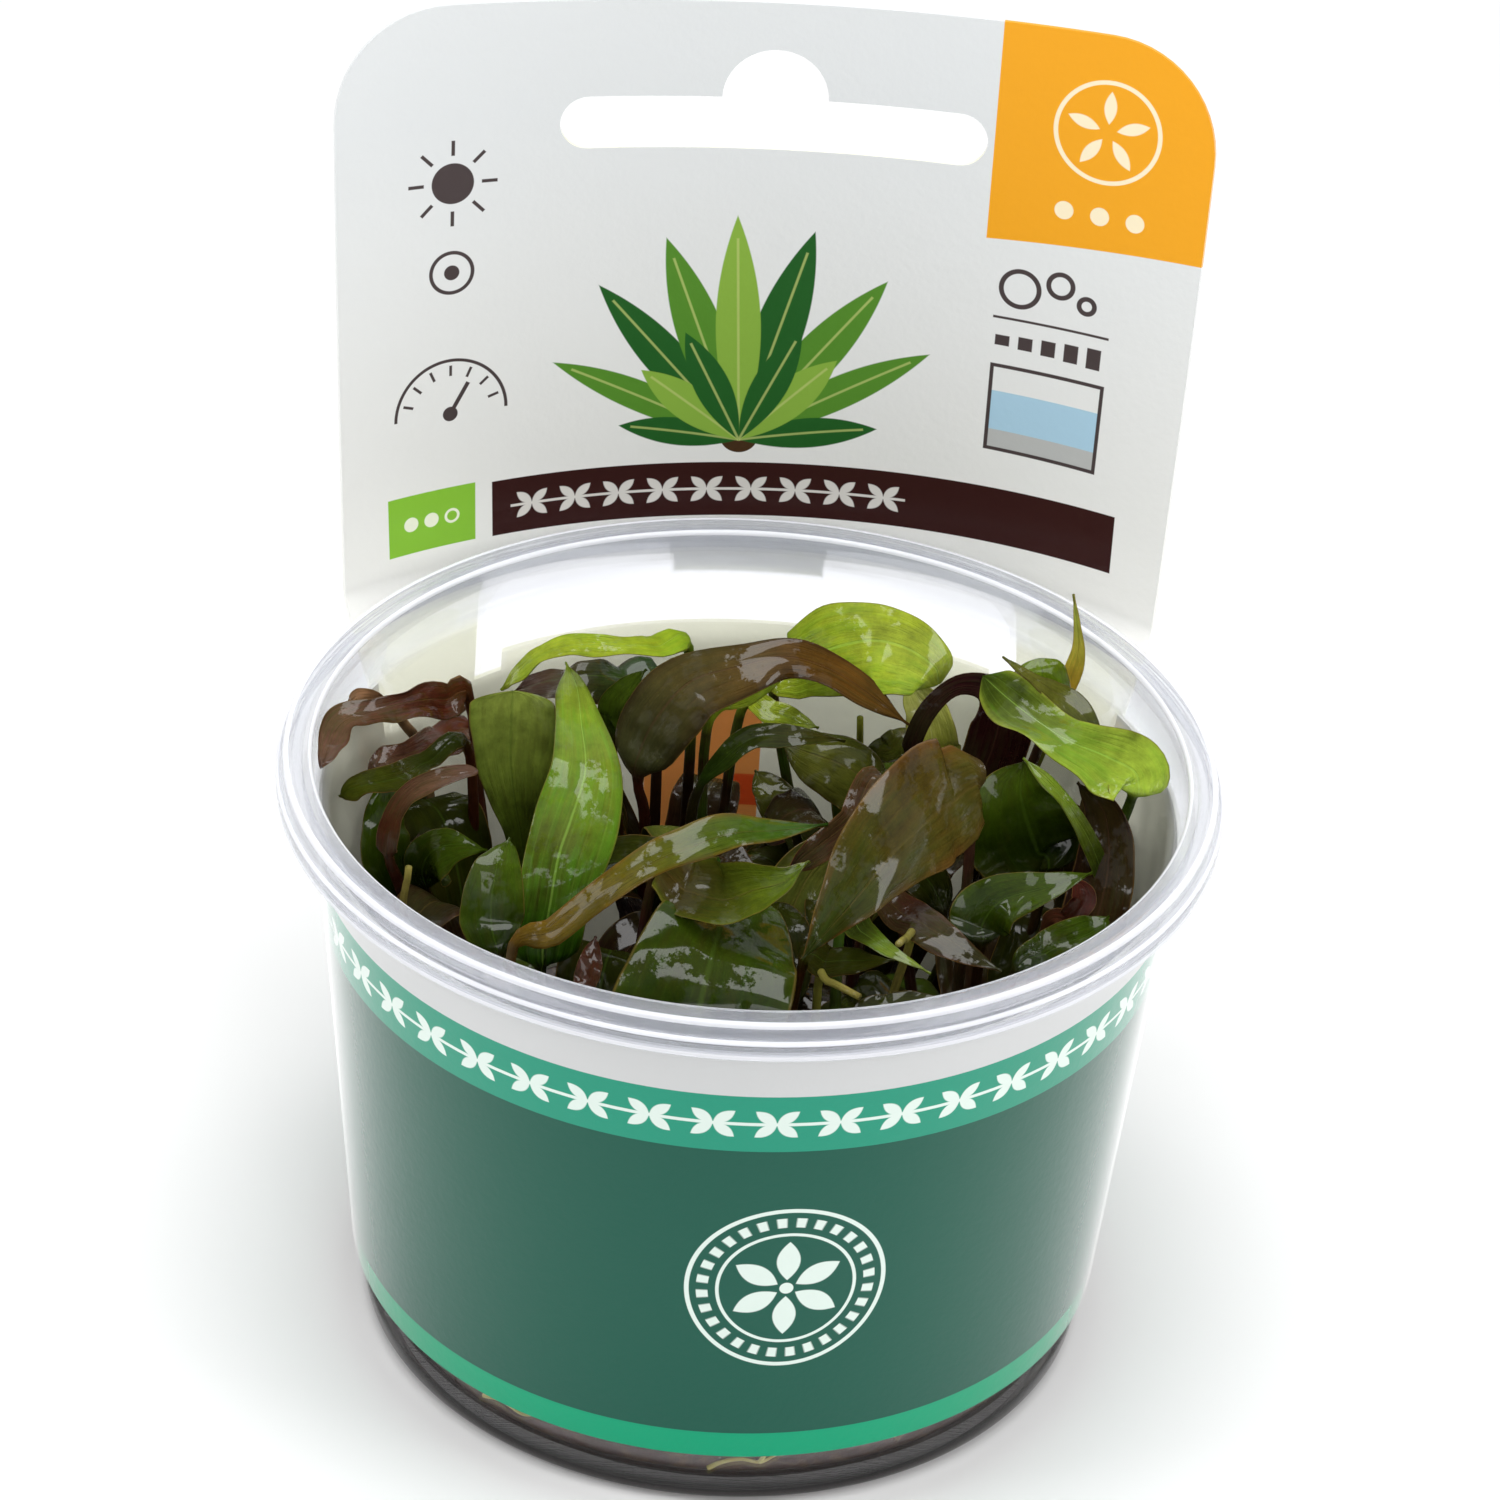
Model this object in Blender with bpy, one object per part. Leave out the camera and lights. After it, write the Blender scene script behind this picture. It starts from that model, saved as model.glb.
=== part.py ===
"""Aquarium plantlets grown in a clear cup, with the printed hang sleeve that goes round it.

Run with: blender --background --python part.py
Lengths below are in millimetres; the meshes are made in metres, +Z up, with the cup
standing on Z = 0 and the tall hang tag at its back, on the +Y side.
"""
from collections import namedtuple
from math import atan2, cos, log, pi, radians, sin, sqrt, tan

import bmesh
import bpy
from mathutils import Quaternion, Vector

MM = 0.001
GAP = 0.3

# Cup: a thin moulded beaker with a lid shoulder and a stepped, rolled rim
CUP_HEIGHT = 55.4
RIM_RADIUS = 40.0
LIP_OUTER_RADIUS = 39.4
LIP_INNER_RADIUS = 36.9
LIP_EDGE = 0.35
WALL = 0.8
WALL_RADIUS_BASE = 31.75
WALL_RADIUS_TOP = 36.1
SHOULDER_Z = 50.8
SHOULDER_RISE = 1.2
SKIRT_TOP = 53.8
SKIRT_BOTTOM = 52.1
SKIRT_WALL = 0.7
BASE_CORNER = 1.8
FLOOR_Z = 1.4
FLOOR_CORNER = 2.6
CUP_SIDES = 48

# Growing gel in the bottom of the cup, with a raised edge where it wets the wall
GEL_TOP = 13.0
GEL_EDGE_RISE = 0.6
GEL_EDGE_WIDTH = 1.2
GEL_SIDES = 36

# Sleeve: one die-cut plastic sheet, a ring round the cup with a tall bowed tag behind it
SHEET = 0.4
SHEET_OUTWARD = 1.0
SLIT = 0.6
SLEEVE_BOTTOM = 6.3
SLEEVE_TOP = 50.2
TAG_HALF_WIDTH = 38.6
TAG_TOP = 105.4
TAG_CORNER = 10.0
TAG_ROOT_Z = 44.0
TAG_CLEAR_Z = 52.2
TAG_DISTANCE = 40.8
TAG_BOW_Z = 55.6
TAG_BOW = 0.0165
TAG_BOW_FALL = 0.000156
TAG_COLUMNS = 14
RING_COLUMNS = 28

# Hang slot, and the window behind the cup's rim with its tab and corner notches
SLOT_HALF = 18.5
SLOT_LOW = 91.5
SLOT_HIGH = 96.4
SLOT_BUMP = 4.6
WINDOW_HALF = 24.2
WINDOW_LOW = 45.9
WINDOW_HIGH = 50.8
WINDOW_CORNER = 1.6
WINDOW_NOTCH_WIDTH = 2.3
WINDOW_NOTCH_DEPTH = 1.2
WINDOW_TAB_HALF = 6.8
WINDOW_TAB_LOW = 49.5
CUTTER_NEAR = 20.0
CUTTER_FAR = 50.0

# Plantlets: crowns stand on the gel, and leaf stalks rise from a ring round each crown
STALK_RADIUS = 0.55
BLADE_THICK = 0.5
EDGE_THICK = 0.22
TIP_HALF_WIDTH = 0.25
CROWN_RADIUS = 1.6
CROWN_HEIGHT = 3.2
RING_RADIUS = 3.1
STALK_LIFT = 9.0
STALK_STEPS = 2
BLADE_STEPS = 6
WAVES = 2.3

CROWNS = {
    "left": (-21.5, 5.0),
    "front_left": (-13.5, -11.5),
    "back": (-5.5, 17.5),
    "front": (5.5, -12.5),
    "back_right": (13.0, 16.5),
    "right": (22.0, -1.5),
}

# A leaf: the crown it grows from, the midrib points, which of them the blade starts from,
# the blade's half width, the way its upper side looks, how far along it is widest, its fold
# and twist in degrees, and the height of its edge waves
Leaf = namedtuple("Leaf", "name crown spine start half_width face widest fold twist wave")

LEAVES = (
    Leaf("wall_brown", "left",
         ((-23.5, 14, 49), (-26.5, 10.5, 52.5), (-29.5, 7, 54), (-32.5, 4.5, 54.5),
          (-34, 3, 53), (-33.5, 3.5, 50)), 0, 2.4, (0.2, -0.7, 0.6), 0.3, 10, 40, 0.4),
    Leaf("wall_tan", "left",
         ((-28, 18.5, 40), (-30.5, 14.8, 47), (-31.5, 11.5, 51), (-33, 10.8, 52)),
         1, 0.9, (0.3, -0.6, 0.7), 0.5, 10, 0, 0.2),
    Leaf("left_brown", "left",
         ((-25.5, 15, 42), (-27.5, 13.2, 45), (-30, 11.3, 44.5)),
         0, 1.9, (0.1, -0.6, 0.8), 0.45, 10, 0, 0.3),
    Leaf("left_long", "left",
         ((-24.5, 10, 46), (-26.5, 6.5, 48.5), (-29.5, 2.5, 49.5), (-32.5, 0.5, 49.5),
          (-34.5, 1.5, 47)), 0, 1.5, (0, -0.5, 0.85), 0.5, 12, 0, 0.2),
    Leaf("left_wall", "left",
         ((-30, 2.5, 37), (-31.5, 1.5, 41), (-32.5, 0.5, 45), (-33.5, 1.5, 46.5)),
         0, 1.8, (0.5, -0.5, 0.7), 0.5, 10, 0, 0.2),
    Leaf("left_strap", "left",
         ((-29, -0.5, 37), (-30, -1.5, 43), (-29.5, -0.5, 47.5), (-28, 1, 50.5),
          (-25.5, 3, 51.5), (-23, 6, 50.5)), 1, 0.85, (-0.3, -0.7, 0.6), 0.5, 20, 0, 0.1),
    Leaf("left_low", "left",
         ((-27.5, 3.5, 37), (-27, 2.5, 41), (-25.5, 2, 43.5), (-22.5, 1, 44)),
         1, 2.0, (0, -0.6, 0.8), 0.45, 12, 0, 0.2),
    Leaf("left_cut_stalk", "left", ((-28.5, -3.5, 38), (-28.5, -4, 45)),
         1, 0.5, (0, -1, 0), 0.5, 0, 0, 0),
    Leaf("left_tall", "left",
         ((-19.5, 13.5, 37), (-20, 10.5, 44), (-20.5, 9.5, 49.5), (-21, 10.5, 52.5),
          (-20.5, 12.5, 53.5), (-19, 15.5, 52)), 0, 3.2, (0.1, -0.9, 0.4), 0.62, 10, 0, 0.2),
    Leaf("hero_bright", "front_left",
         ((-17, -8, 42), (-15.5, -6.5, 47), (-14.5, -2, 51), (-14.5, 3.5, 53.5),
          (-15.5, 8, 54.7), (-16, 13, 55.2)), 0, 4.1, (0.1, -0.5, 0.85), 0.4, 12, 0, 0.3),
    Leaf("front_oval", "front_left",
         ((-20.5, -14.5, 43), (-21.5, -12.5, 47), (-21, -10.5, 50), (-20, -7.5, 51)),
         0, 2.4, (0, -0.5, 0.85), 0.45, 14, 0, 0.2),
    Leaf("long_diagonal", "front_left",
         ((-19.5, -16.5, 45), (-15.5, -15.5, 48.5), (-10.5, -13, 50.5), (-6, -10, 52),
          (0, -7, 52.5), (6, -5, 51.5)), 0, 1.7, (0, -0.5, 0.85), 0.45, 14, 20, 0.3),
    Leaf("boat", "front_left",
         ((-8.5, -5.5, 44), (-4.5, -8.5, 46), (0, -9, 47.5), (3, -9, 49), (5, -8, 50)),
         0, 2.8, (0, -0.7, 0.7), 0.45, 25, 0, 0.2),
    Leaf("front_red", "front_left",
         ((-13.5, -15, 38), (-13, -13.5, 41.5), (-12.5, -11, 43.5)),
         0, 1.1, (0, -0.6, 0.8), 0.5, 10, 0, 0.2),
    Leaf("back_arch", "back",
         ((-9, 15.5, 40), (-8.5, 13, 48), (-6, 14, 52.5), (-1.5, 16, 55), (4, 16.5, 55.5),
          (8.5, 17.5, 53), (14, 17.5, 48)), 1, 3.6, (-0.25, -0.65, 0.7), 0.35, 10, 95, 0.3),
    Leaf("arch_lining", "back",
         ((-3.5, 17.5, 46), (0, 18.5, 50), (4, 19.5, 53)),
         0, 1.0, (0, -0.8, 0.5), 0.5, 10, 0, 0.1),
    Leaf("back_long", "back",
         ((-4, 25, 48), (-8, 19.5, 53), (-12.5, 17, 55), (-16.5, 18, 55), (-19.5, 19, 52),
          (-21.5, 21.5, 47)), 0, 1.7, (0, -0.2, 1), 0.3, 10, 0, 0.2),
    Leaf("back_low", "back",
         ((-8.5, 24, 44.5), (-13, 21, 48), (-18, 22, 47), (-21, 25, 44)),
         0, 1.7, (0, -0.35, 0.95), 0.4, 12, 0, 0.3),
    Leaf("back_small", "back",
         ((-11.5, 18, 46), (-11, 16.5, 50), (-9.5, 17.5, 51.5)),
         0, 1.1, (0, -0.7, 0.7), 0.5, 10, 0, 0.1),
    Leaf("back_strap", "back",
         ((-4.5, 14.5, 37), (-4, 13, 43), (-2, 12.5, 46.5), (0.5, 13, 48.5), (4.5, 12, 49.5),
          (8.5, 14, 48)), 1, 1.1, (0, -0.6, 0.8), 0.5, 15, 0, 0.2),
    Leaf("back_shoot", "back",
         ((-0.5, 23.5, 44), (2.5, 21, 46), (6.5, 21.5, 44.5)),
         0, 1.0, (0, -0.7, 0.7), 0.5, 10, 0, 0.1),
    Leaf("lime_round", "back_right",
         ((2.5, 29.5, 42), (4.5, 26, 47.5), (9, 22.5, 53), (13, 20, 55), (17.5, 20, 53.5)),
         0, 4.2, (0, -0.6, 0.8), 0.55, 10, 0, 0.2),
    Leaf("pale_yellow", "back_right",
         ((17, 20, 41), (16.5, 19, 45), (15.3, 19, 48.5), (13.8, 20, 50)),
         0, 1.9, (0, -0.8, 0.6), 0.45, 14, 0, 0.1),
    Leaf("purple_arch", "back_right",
         ((14.5, 17.5, 43), (15, 15, 49), (16.5, 15.5, 52), (18, 16.3, 53), (20, 15.8, 52.2),
          (21, 15.5, 50), (21, 16.5, 46), (19, 17.5, 42)),
         4, 2.6, (0, -0.9, 0.3), 0.5, 12, 0, 0.2),
    Leaf("olive_hood", "back_right",
         ((11.5, 15, 40), (9, 16, 43.5), (6, 16.5, 44.5), (3, 18.5, 44)),
         0, 2.4, (0, -0.7, 0.7), 0.45, 12, 0, 0.2),
    Leaf("olive_inner", "back_right",
         ((5, 14.5, 37), (3, 16, 40), (1, 18, 42)),
         0, 1.9, (0, -0.6, 0.8), 0.5, 10, 0, 0.2),
    Leaf("young_shoot", "back_right", ((10.5, 21, 40), (10, 19.5, 47)),
         1, 0.5, (0, -1, 0), 0.5, 0, 0, 0),
    Leaf("olive_low", "back_right",
         ((11, 19.5, 41), (13, 19.5, 44), (14.5, 21.5, 45)),
         0, 1.4, (0, -0.6, 0.8), 0.5, 10, 0, 0.1),
    Leaf("upright_tip", "back_right",
         ((28.5, 18.5, 50), (29, 20.5, 53), (29, 21, 56), (28, 22.5, 59)),
         0, 0.9, (-0.3, -0.9, 0.2), 0.4, 15, 0, 0),
    Leaf("round_dark", "back_right",
         ((25.5, 20.5, 47), (25.5, 20.5, 50), (25, 21.5, 51.5)),
         0, 1.9, (0, -0.6, 0.8), 0.5, 10, 0, 0.1),
    Leaf("right_wavy", "right",
         ((31.5, 4, 42), (32.3, 3, 47), (31.7, 3.2, 50.7), (29.5, 5, 53), (25.5, 8, 54.8),
          (22.5, 11.3, 55.3), (20.3, 14.3, 55.5)), 2, 3.3, (0, -0.55, 0.85), 0.3, 12, 0, 0.5),
    Leaf("right_narrow", "right",
         ((30, 12.5, 51), (28, 10.7, 57.2), (25, 10.5, 58.2), (21.5, 13, 58.7)),
         0, 0.9, (0, -0.4, 0.9), 0.4, 15, 0, 0.1),
    Leaf("right_broad", "right",
         ((19, 1.5, 40), (20.5, 2.5, 44), (23, 2, 48), (25.5, 4, 50.5)),
         0, 4.6, (0, -0.8, 0.6), 0.5, 12, 0, 0.3),
    Leaf("right_edge", "right",
         ((31.5, -4, 41), (28.7, -3.7, 49), (26, -0.5, 53), (23, 3.2, 54.5)),
         0, 1.0, (0, -0.5, 0.85), 0.4, 12, 0, 0.1),
    Leaf("right_dark", "right",
         ((30, 1, 40), (30.5, -0.5, 45.5), (29, 0.3, 48.5), (27, 1.8, 50)),
         0, 2.0, (-0.3, -0.6, 0.75), 0.5, 12, 0, 0.2),
    Leaf("hero_folded", "right",
         ((17, 0, 50), (14.5, -5.5, 53), (11.5, -10.5, 53), (8, -15, 51), (4.5, -19, 48)),
         0, 5.4, (0, -0.6, 0.8), 0.16, 8, 0, 0.3),
    Leaf("folded_flap", "right",
         ((11, 4.5, 50), (7.5, -0.5, 49.5), (3, -4.5, 46.5)),
         0, 1.4, (0, -0.6, 0.8), 0.4, 10, 0, 0.1),
    Leaf("right_front", "right",
         ((20.5, -7.5, 40), (20.5, -7.5, 44), (23, -7.5, 46.5), (26.5, -7, 48), (29, -6, 49)),
         1, 2.5, (0, -0.6, 0.8), 0.45, 12, 0, 0.3),
    Leaf("right_curl", "right",
         ((25, -4.5, 40), (27, -5.5, 43.5), (28.5, -5, 45.5), (27.5, -4.5, 47)),
         0, 1.3, (0, -0.7, 0.7), 0.5, 15, 0, 0.1),
    Leaf("right_serrated", "right",
         ((22.5, -11.5, 41), (25.5, -10.5, 43.5), (29, -9.5, 45), (30.5, -8.5, 46)),
         0, 1.3, (0, -0.6, 0.8), 0.45, 12, 0, 0.3),
    Leaf("front_broad", "front",
         ((-4, -20, 33), (-3.5, -18.5, 38), (-3, -16, 41), (-2, -12, 42.7), (-1, -8, 42.7)),
         0, 6.0, (0, -0.75, 0.65), 0.4, 8, 0, 0.3),
    Leaf("front_shiny", "front",
         ((3.5, -11.5, 41), (7, -12, 42.5), (12, -12.5, 43)),
         0, 1.3, (0, -0.4, 0.9), 0.45, 15, 0, 0.1),
    Leaf("front_pointed", "front",
         ((7.5, -10, 45), (10, -13.5, 46), (13, -17.5, 46.5), (15, -18.5, 46)),
         0, 1.1, (0, -0.4, 0.9), 0.45, 15, 0, 0.1),
    Leaf("front_brown", "front",
         ((10.5, -5.5, 42.5), (14, -8, 43.5), (17.5, -12, 43.5), (21.5, -14, 42)),
         0, 1.8, (0, -0.5, 0.85), 0.45, 12, 0, 0.2),
    Leaf("front_dark", "front",
         ((9, -16.5, 39), (12.5, -16.5, 41), (17.5, -15.5, 41.5)),
         0, 1.6, (0, -0.5, 0.85), 0.5, 12, 0, 0.1),
    Leaf("middle_left", "left",
         ((-16, 5.5, 36), (-12.5, 4, 40.5), (-7.5, 2, 42.5), (-3, 0.5, 42)),
         0, 2.6, (0, -0.4, 0.9), 0.45, 12, 0, 0.3),
    Leaf("middle_back", "back",
         ((-5, 11.5, 35), (-4, 9.5, 38.5), (-1.5, 6.5, 40), (2, 4, 39)),
         0, 2.4, (0.1, -0.4, 0.9), 0.45, 12, 0, 0.3),
    Leaf("middle_right", "right",
         ((18, 6.5, 34), (15.5, 7.5, 39), (12, 9, 41), (8.5, 11, 40)),
         0, 2.6, (-0.1, -0.4, 0.9), 0.45, 12, 0, 0.3),
    Leaf("middle_front", "front",
         ((4.5, -7, 33), (4, -3.5, 37), (3, 0, 38.5), (1, 3.5, 37)),
         0, 2.4, (0, -0.4, 0.9), 0.45, 12, 0, 0.3),
    Leaf("deep_left", "front_left",
         ((-12.5, -7, 31), (-10.5, -3.5, 35.5), (-8, -0.5, 37), (-5, 2.5, 36)),
         0, 2.5, (0, -0.4, 0.9), 0.45, 12, 0, 0.3),
    Leaf("deep_right", "back_right",
         ((10.5, 12, 31), (9, 8.5, 35), (7.5, 5, 36), (6.5, 1.5, 34.5)),
         0, 2.5, (0, -0.4, 0.9), 0.45, 12, 0, 0.3),
)


def smooth_point(points, place):
    """The point at a given place, counted in points, on a Catmull-Rom curve through them."""
    ends = [2 * points[0] - points[1]] + points + [2 * points[-1] - points[-2]]
    i = min(int(place), len(points) - 2)
    t = place - i
    a, b, c, d = ends[i:i + 4]
    return 0.5 * (2 * b + (c - a) * t + (2 * a - 5 * b + 4 * c - d) * t ** 2
                  + (3 * b - a - 3 * c + d) * t ** 3)


def wall_radius(z):
    """Outer radius of the cup's tapered wall at height z."""
    return WALL_RADIUS_BASE + (WALL_RADIUS_TOP - WALL_RADIUS_BASE) * z / SHOULDER_Z


def arc(centre_r, centre_z, radius, start, end, steps):
    """Points of an arc in the (radius, height) plane; the angles are in degrees."""
    points = []
    for i in range(steps + 1):
        angle = radians(start + (end - start) * i / steps)
        points.append((centre_r + radius * cos(angle), centre_z + radius * sin(angle)))
    return points


def finish(name, mesh_data, color, roughness, alpha=1.0):
    """Make the named object from a bmesh, shade it and give it its own material."""
    bmesh.ops.recalc_face_normals(mesh_data, faces=mesh_data.faces)
    mesh = bpy.data.meshes.new(name)
    mesh_data.to_mesh(mesh)
    mesh_data.free()
    mesh.shade_smooth()
    mesh.set_sharp_from_angle(angle=radians(35))
    material = bpy.data.materials.new(name)
    material.use_nodes = True
    shader = material.node_tree.nodes["Principled BSDF"]
    shader.inputs["Base Color"].default_value = (*color, 1.0)
    shader.inputs["Roughness"].default_value = roughness
    shader.inputs["Metallic"].default_value = 0.0
    shader.inputs["Alpha"].default_value = alpha
    mesh.materials.append(material)
    piece = bpy.data.objects.new(name, mesh)
    bpy.context.scene.collection.objects.link(piece)
    return piece


def turned(name, profile, sides, color, roughness, alpha=1.0):
    """A turned solid from a closed (radius, height) profile that starts and ends on the axis."""
    mesh_data = bmesh.new()
    rings = []
    for r, z in profile:
        if r == 0:
            rings.append([mesh_data.verts.new((0, 0, z * MM))])
            continue
        ring = []
        for i in range(sides):
            angle = 2 * pi * i / sides
            ring.append(mesh_data.verts.new((r * cos(angle) * MM, r * sin(angle) * MM, z * MM)))
        rings.append(ring)
    for low, high in zip(rings, rings[1:]):
        for i in range(sides):
            j = (i + 1) % sides
            corners = [low[i % len(low)], low[j % len(low)], high[j % len(high)], high[i % len(high)]]
            mesh_data.faces.new(list(dict.fromkeys(corners)))
    return finish(name, mesh_data, color, roughness, alpha)


def make_cup():
    """The clear cup: outside from the base up, over the rim, and down the inside to the floor."""
    ring_outer = LIP_INNER_RADIUS + WALL
    ring_top = CUP_HEIGHT - WALL
    lip_inner = LIP_OUTER_RADIUS - SKIRT_WALL
    skirt_inner = RIM_RADIUS - SKIRT_WALL
    edge_z = CUP_HEIGHT - LIP_EDGE
    inner_shoulder = SHOULDER_Z - WALL / 2
    corner_r = wall_radius(BASE_CORNER) - BASE_CORNER
    floor_r = wall_radius(FLOOR_Z + FLOOR_CORNER) - WALL - FLOOR_CORNER
    outside = [(0, 0)] + arc(corner_r, BASE_CORNER, BASE_CORNER, -90, 0, 3)
    outside += [(wall_radius(SHOULDER_Z), SHOULDER_Z), (ring_outer, SHOULDER_Z + SHOULDER_RISE)]
    rim = [(ring_outer, ring_top), (lip_inner, ring_top), (lip_inner, SKIRT_TOP - LIP_EDGE),
           (skirt_inner, SKIRT_TOP - SKIRT_WALL), (skirt_inner, SKIRT_BOTTOM),
           (RIM_RADIUS, SKIRT_BOTTOM), (RIM_RADIUS, SKIRT_TOP), (LIP_OUTER_RADIUS, SKIRT_TOP + GAP),
           (LIP_OUTER_RADIUS, edge_z), (LIP_OUTER_RADIUS - LIP_EDGE, CUP_HEIGHT),
           (LIP_INNER_RADIUS + LIP_EDGE, CUP_HEIGHT), (LIP_INNER_RADIUS, edge_z)]
    inside = [(LIP_INNER_RADIUS, inner_shoulder + SHOULDER_RISE),
              (wall_radius(inner_shoulder) - WALL, inner_shoulder)]
    inside += arc(floor_r, FLOOR_Z + FLOOR_CORNER, FLOOR_CORNER, 0, -90, 3) + [(0, FLOOR_Z)]
    turned("cup", outside + rim + inside, CUP_SIDES, (0.9, 0.9, 0.95), 0.08, 0.3)


def make_gel():
    """The dark gel, which fills the cup's bottom and is a little higher at the wall."""
    def inner(z):
        return wall_radius(z) - WALL - GAP
    low = FLOOR_Z + GAP
    corner_z = low + FLOOR_CORNER
    edge_z = GEL_TOP + GEL_EDGE_RISE
    profile = [(0, low)] + arc(inner(corner_z) - FLOOR_CORNER, corner_z, FLOOR_CORNER, -90, 0, 2)
    profile += [(inner(edge_z), edge_z), (inner(GEL_TOP) - GEL_EDGE_WIDTH, GEL_TOP), (0, GEL_TOP)]
    turned("culture_gel", profile, GEL_SIDES, (0.05, 0.03, 0.03), 0.3)


def sheet_point(across, z):
    """A point of the sleeve's inner face; across is the arc length from the tag's middle."""
    radius = wall_radius(z) + GAP
    angle = across / (wall_radius(TAG_ROOT_Z) + GAP)
    ring = Vector((radius * sin(angle), radius * cos(angle), z))
    if z <= TAG_ROOT_Z:
        return ring
    bow = TAG_BOW - TAG_BOW_FALL * (z - TAG_BOW_Z)
    turn = across * bow
    tag = Vector((sin(turn) / bow, TAG_DISTANCE - (1 - cos(turn)) / bow, z))
    share = min((z - TAG_ROOT_Z) / (TAG_CLEAR_Z - TAG_ROOT_Z), 1.0)
    return ring.lerp(tag, share * share * (3 - 2 * share))


def tag_half_width(z):
    """Half width of the tag at height z, which narrows round its top corners."""
    over = max(z - (TAG_TOP - TAG_CORNER), 0.0)
    return TAG_HALF_WIDTH - TAG_CORNER + sqrt(TAG_CORNER ** 2 - over ** 2)


def slab(name, outline, near, far):
    """A cutter: an outline of (x, z) points drawn out along Y."""
    mesh_data = bmesh.new()
    face = mesh_data.faces.new([mesh_data.verts.new((x * MM, near * MM, z * MM)) for x, z in outline])
    drawn = bmesh.ops.extrude_face_region(mesh_data, geom=[face])
    corners = [item for item in drawn["geom"] if isinstance(item, bmesh.types.BMVert)]
    bmesh.ops.translate(mesh_data, verts=corners, vec=(0, (far - near) * MM, 0))
    bmesh.ops.recalc_face_normals(mesh_data, faces=mesh_data.faces)
    mesh = bpy.data.meshes.new(name)
    mesh_data.to_mesh(mesh)
    mesh_data.free()
    cutter = bpy.data.objects.new(name, mesh)
    cutter.hide_render = True
    cutter.display_type = "WIRE"
    bpy.context.scene.collection.objects.link(cutter)
    return cutter


def slot_outline():
    """The hang slot: a long slot with round ends and a round bump in its upper edge."""
    end = (SLOT_HIGH - SLOT_LOW) / 2
    middle = SLOT_LOW + end
    outline = arc(SLOT_HALF - end, middle, end, -90, 90, 6)
    outline += arc(0, SLOT_HIGH, SLOT_BUMP, 0, 180, 8)
    return outline + arc(end - SLOT_HALF, middle, end, 90, 270, 6)


def window_outline():
    """The window behind the rim: round corners, a tab from above, a notch at each low corner."""
    c = WINDOW_CORNER
    inner = WINDOW_HALF - WINDOW_NOTCH_WIDTH
    low = WINDOW_LOW - WINDOW_NOTCH_DEPTH
    right = [(WINDOW_TAB_HALF, WINDOW_TAB_LOW), (WINDOW_TAB_HALF, WINDOW_HIGH)]
    right += arc(WINDOW_HALF - c, WINDOW_HIGH - c, c, 90, 0, 3)
    right += [(WINDOW_HALF, low), (inner, low), (inner, WINDOW_LOW)]
    return right + [(-x, z) for x, z in reversed(right)]


def make_sleeve():
    """The printed sheet: the ring and the tag share their corners up to the tag's root."""
    mesh_data = bmesh.new()
    arc_radius = wall_radius(TAG_ROOT_Z) + GAP
    ring_half = pi * arc_radius
    tag_columns = [TAG_HALF_WIDTH * (2 * i / TAG_COLUMNS - 1) for i in range(TAG_COLUMNS + 1)]
    rest = 2 * (ring_half - TAG_HALF_WIDTH)
    ring_columns = [TAG_HALF_WIDTH + rest * i / RING_COLUMNS for i in range(1, RING_COLUMNS)]

    def row(columns, z):
        return [mesh_data.verts.new(sheet_point(s, z) * MM) for s in columns]

    def ring_row(columns, z):
        radius = wall_radius(z) + GAP
        return [mesh_data.verts.new((radius * sin(s / arc_radius) * MM,
                                     radius * cos(s / arc_radius) * MM, z * MM)) for s in columns]

    def join(low, high):
        for a, b, c, d in zip(low, low[1:], high[1:], high):
            mesh_data.faces.new((a, b, c, d))

    bottom = ring_row(tag_columns + ring_columns, SLEEVE_BOTTOM)
    root = ring_row(tag_columns + ring_columns, TAG_ROOT_Z)
    join(bottom + bottom[:1], root + root[:1])
    top = ring_row([tag_columns[-1] + SLIT] + ring_columns + [tag_columns[0] - SLIT], SLEEVE_TOP)
    join(root[TAG_COLUMNS:] + root[:1], top)
    below = root[:TAG_COLUMNS + 1]
    blend = (TAG_CLEAR_Z - TAG_ROOT_Z) / 4
    corner_z = TAG_TOP - TAG_CORNER
    rise = (corner_z - TAG_CLEAR_Z) / 4
    heights = [TAG_ROOT_Z + blend * i for i in range(1, 5)]
    heights += [TAG_CLEAR_Z + rise * i for i in range(1, 5)]
    heights += [corner_z + TAG_CORNER * sin(radians(22.5 * i)) for i in range(1, 5)]
    for z in heights:
        share = tag_half_width(z) / TAG_HALF_WIDTH
        above = row([s * share for s in tag_columns], z)
        join(below, above)
        below = above
    sleeve = finish("label_sleeve", mesh_data, (0.6, 0.65, 0.62), 0.4)
    sheet = sleeve.modifiers.new("sheet", "SOLIDIFY")
    sheet.thickness = SHEET * MM
    sheet.offset = SHEET_OUTWARD
    for name, outline in (("slot_cutter", slot_outline()), ("window_cutter", window_outline())):
        cut = sleeve.modifiers.new(name, "BOOLEAN")
        cut.operation = "DIFFERENCE"
        cut.object = slab(name, outline, CUTTER_NEAR, CUTTER_FAR)


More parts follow.
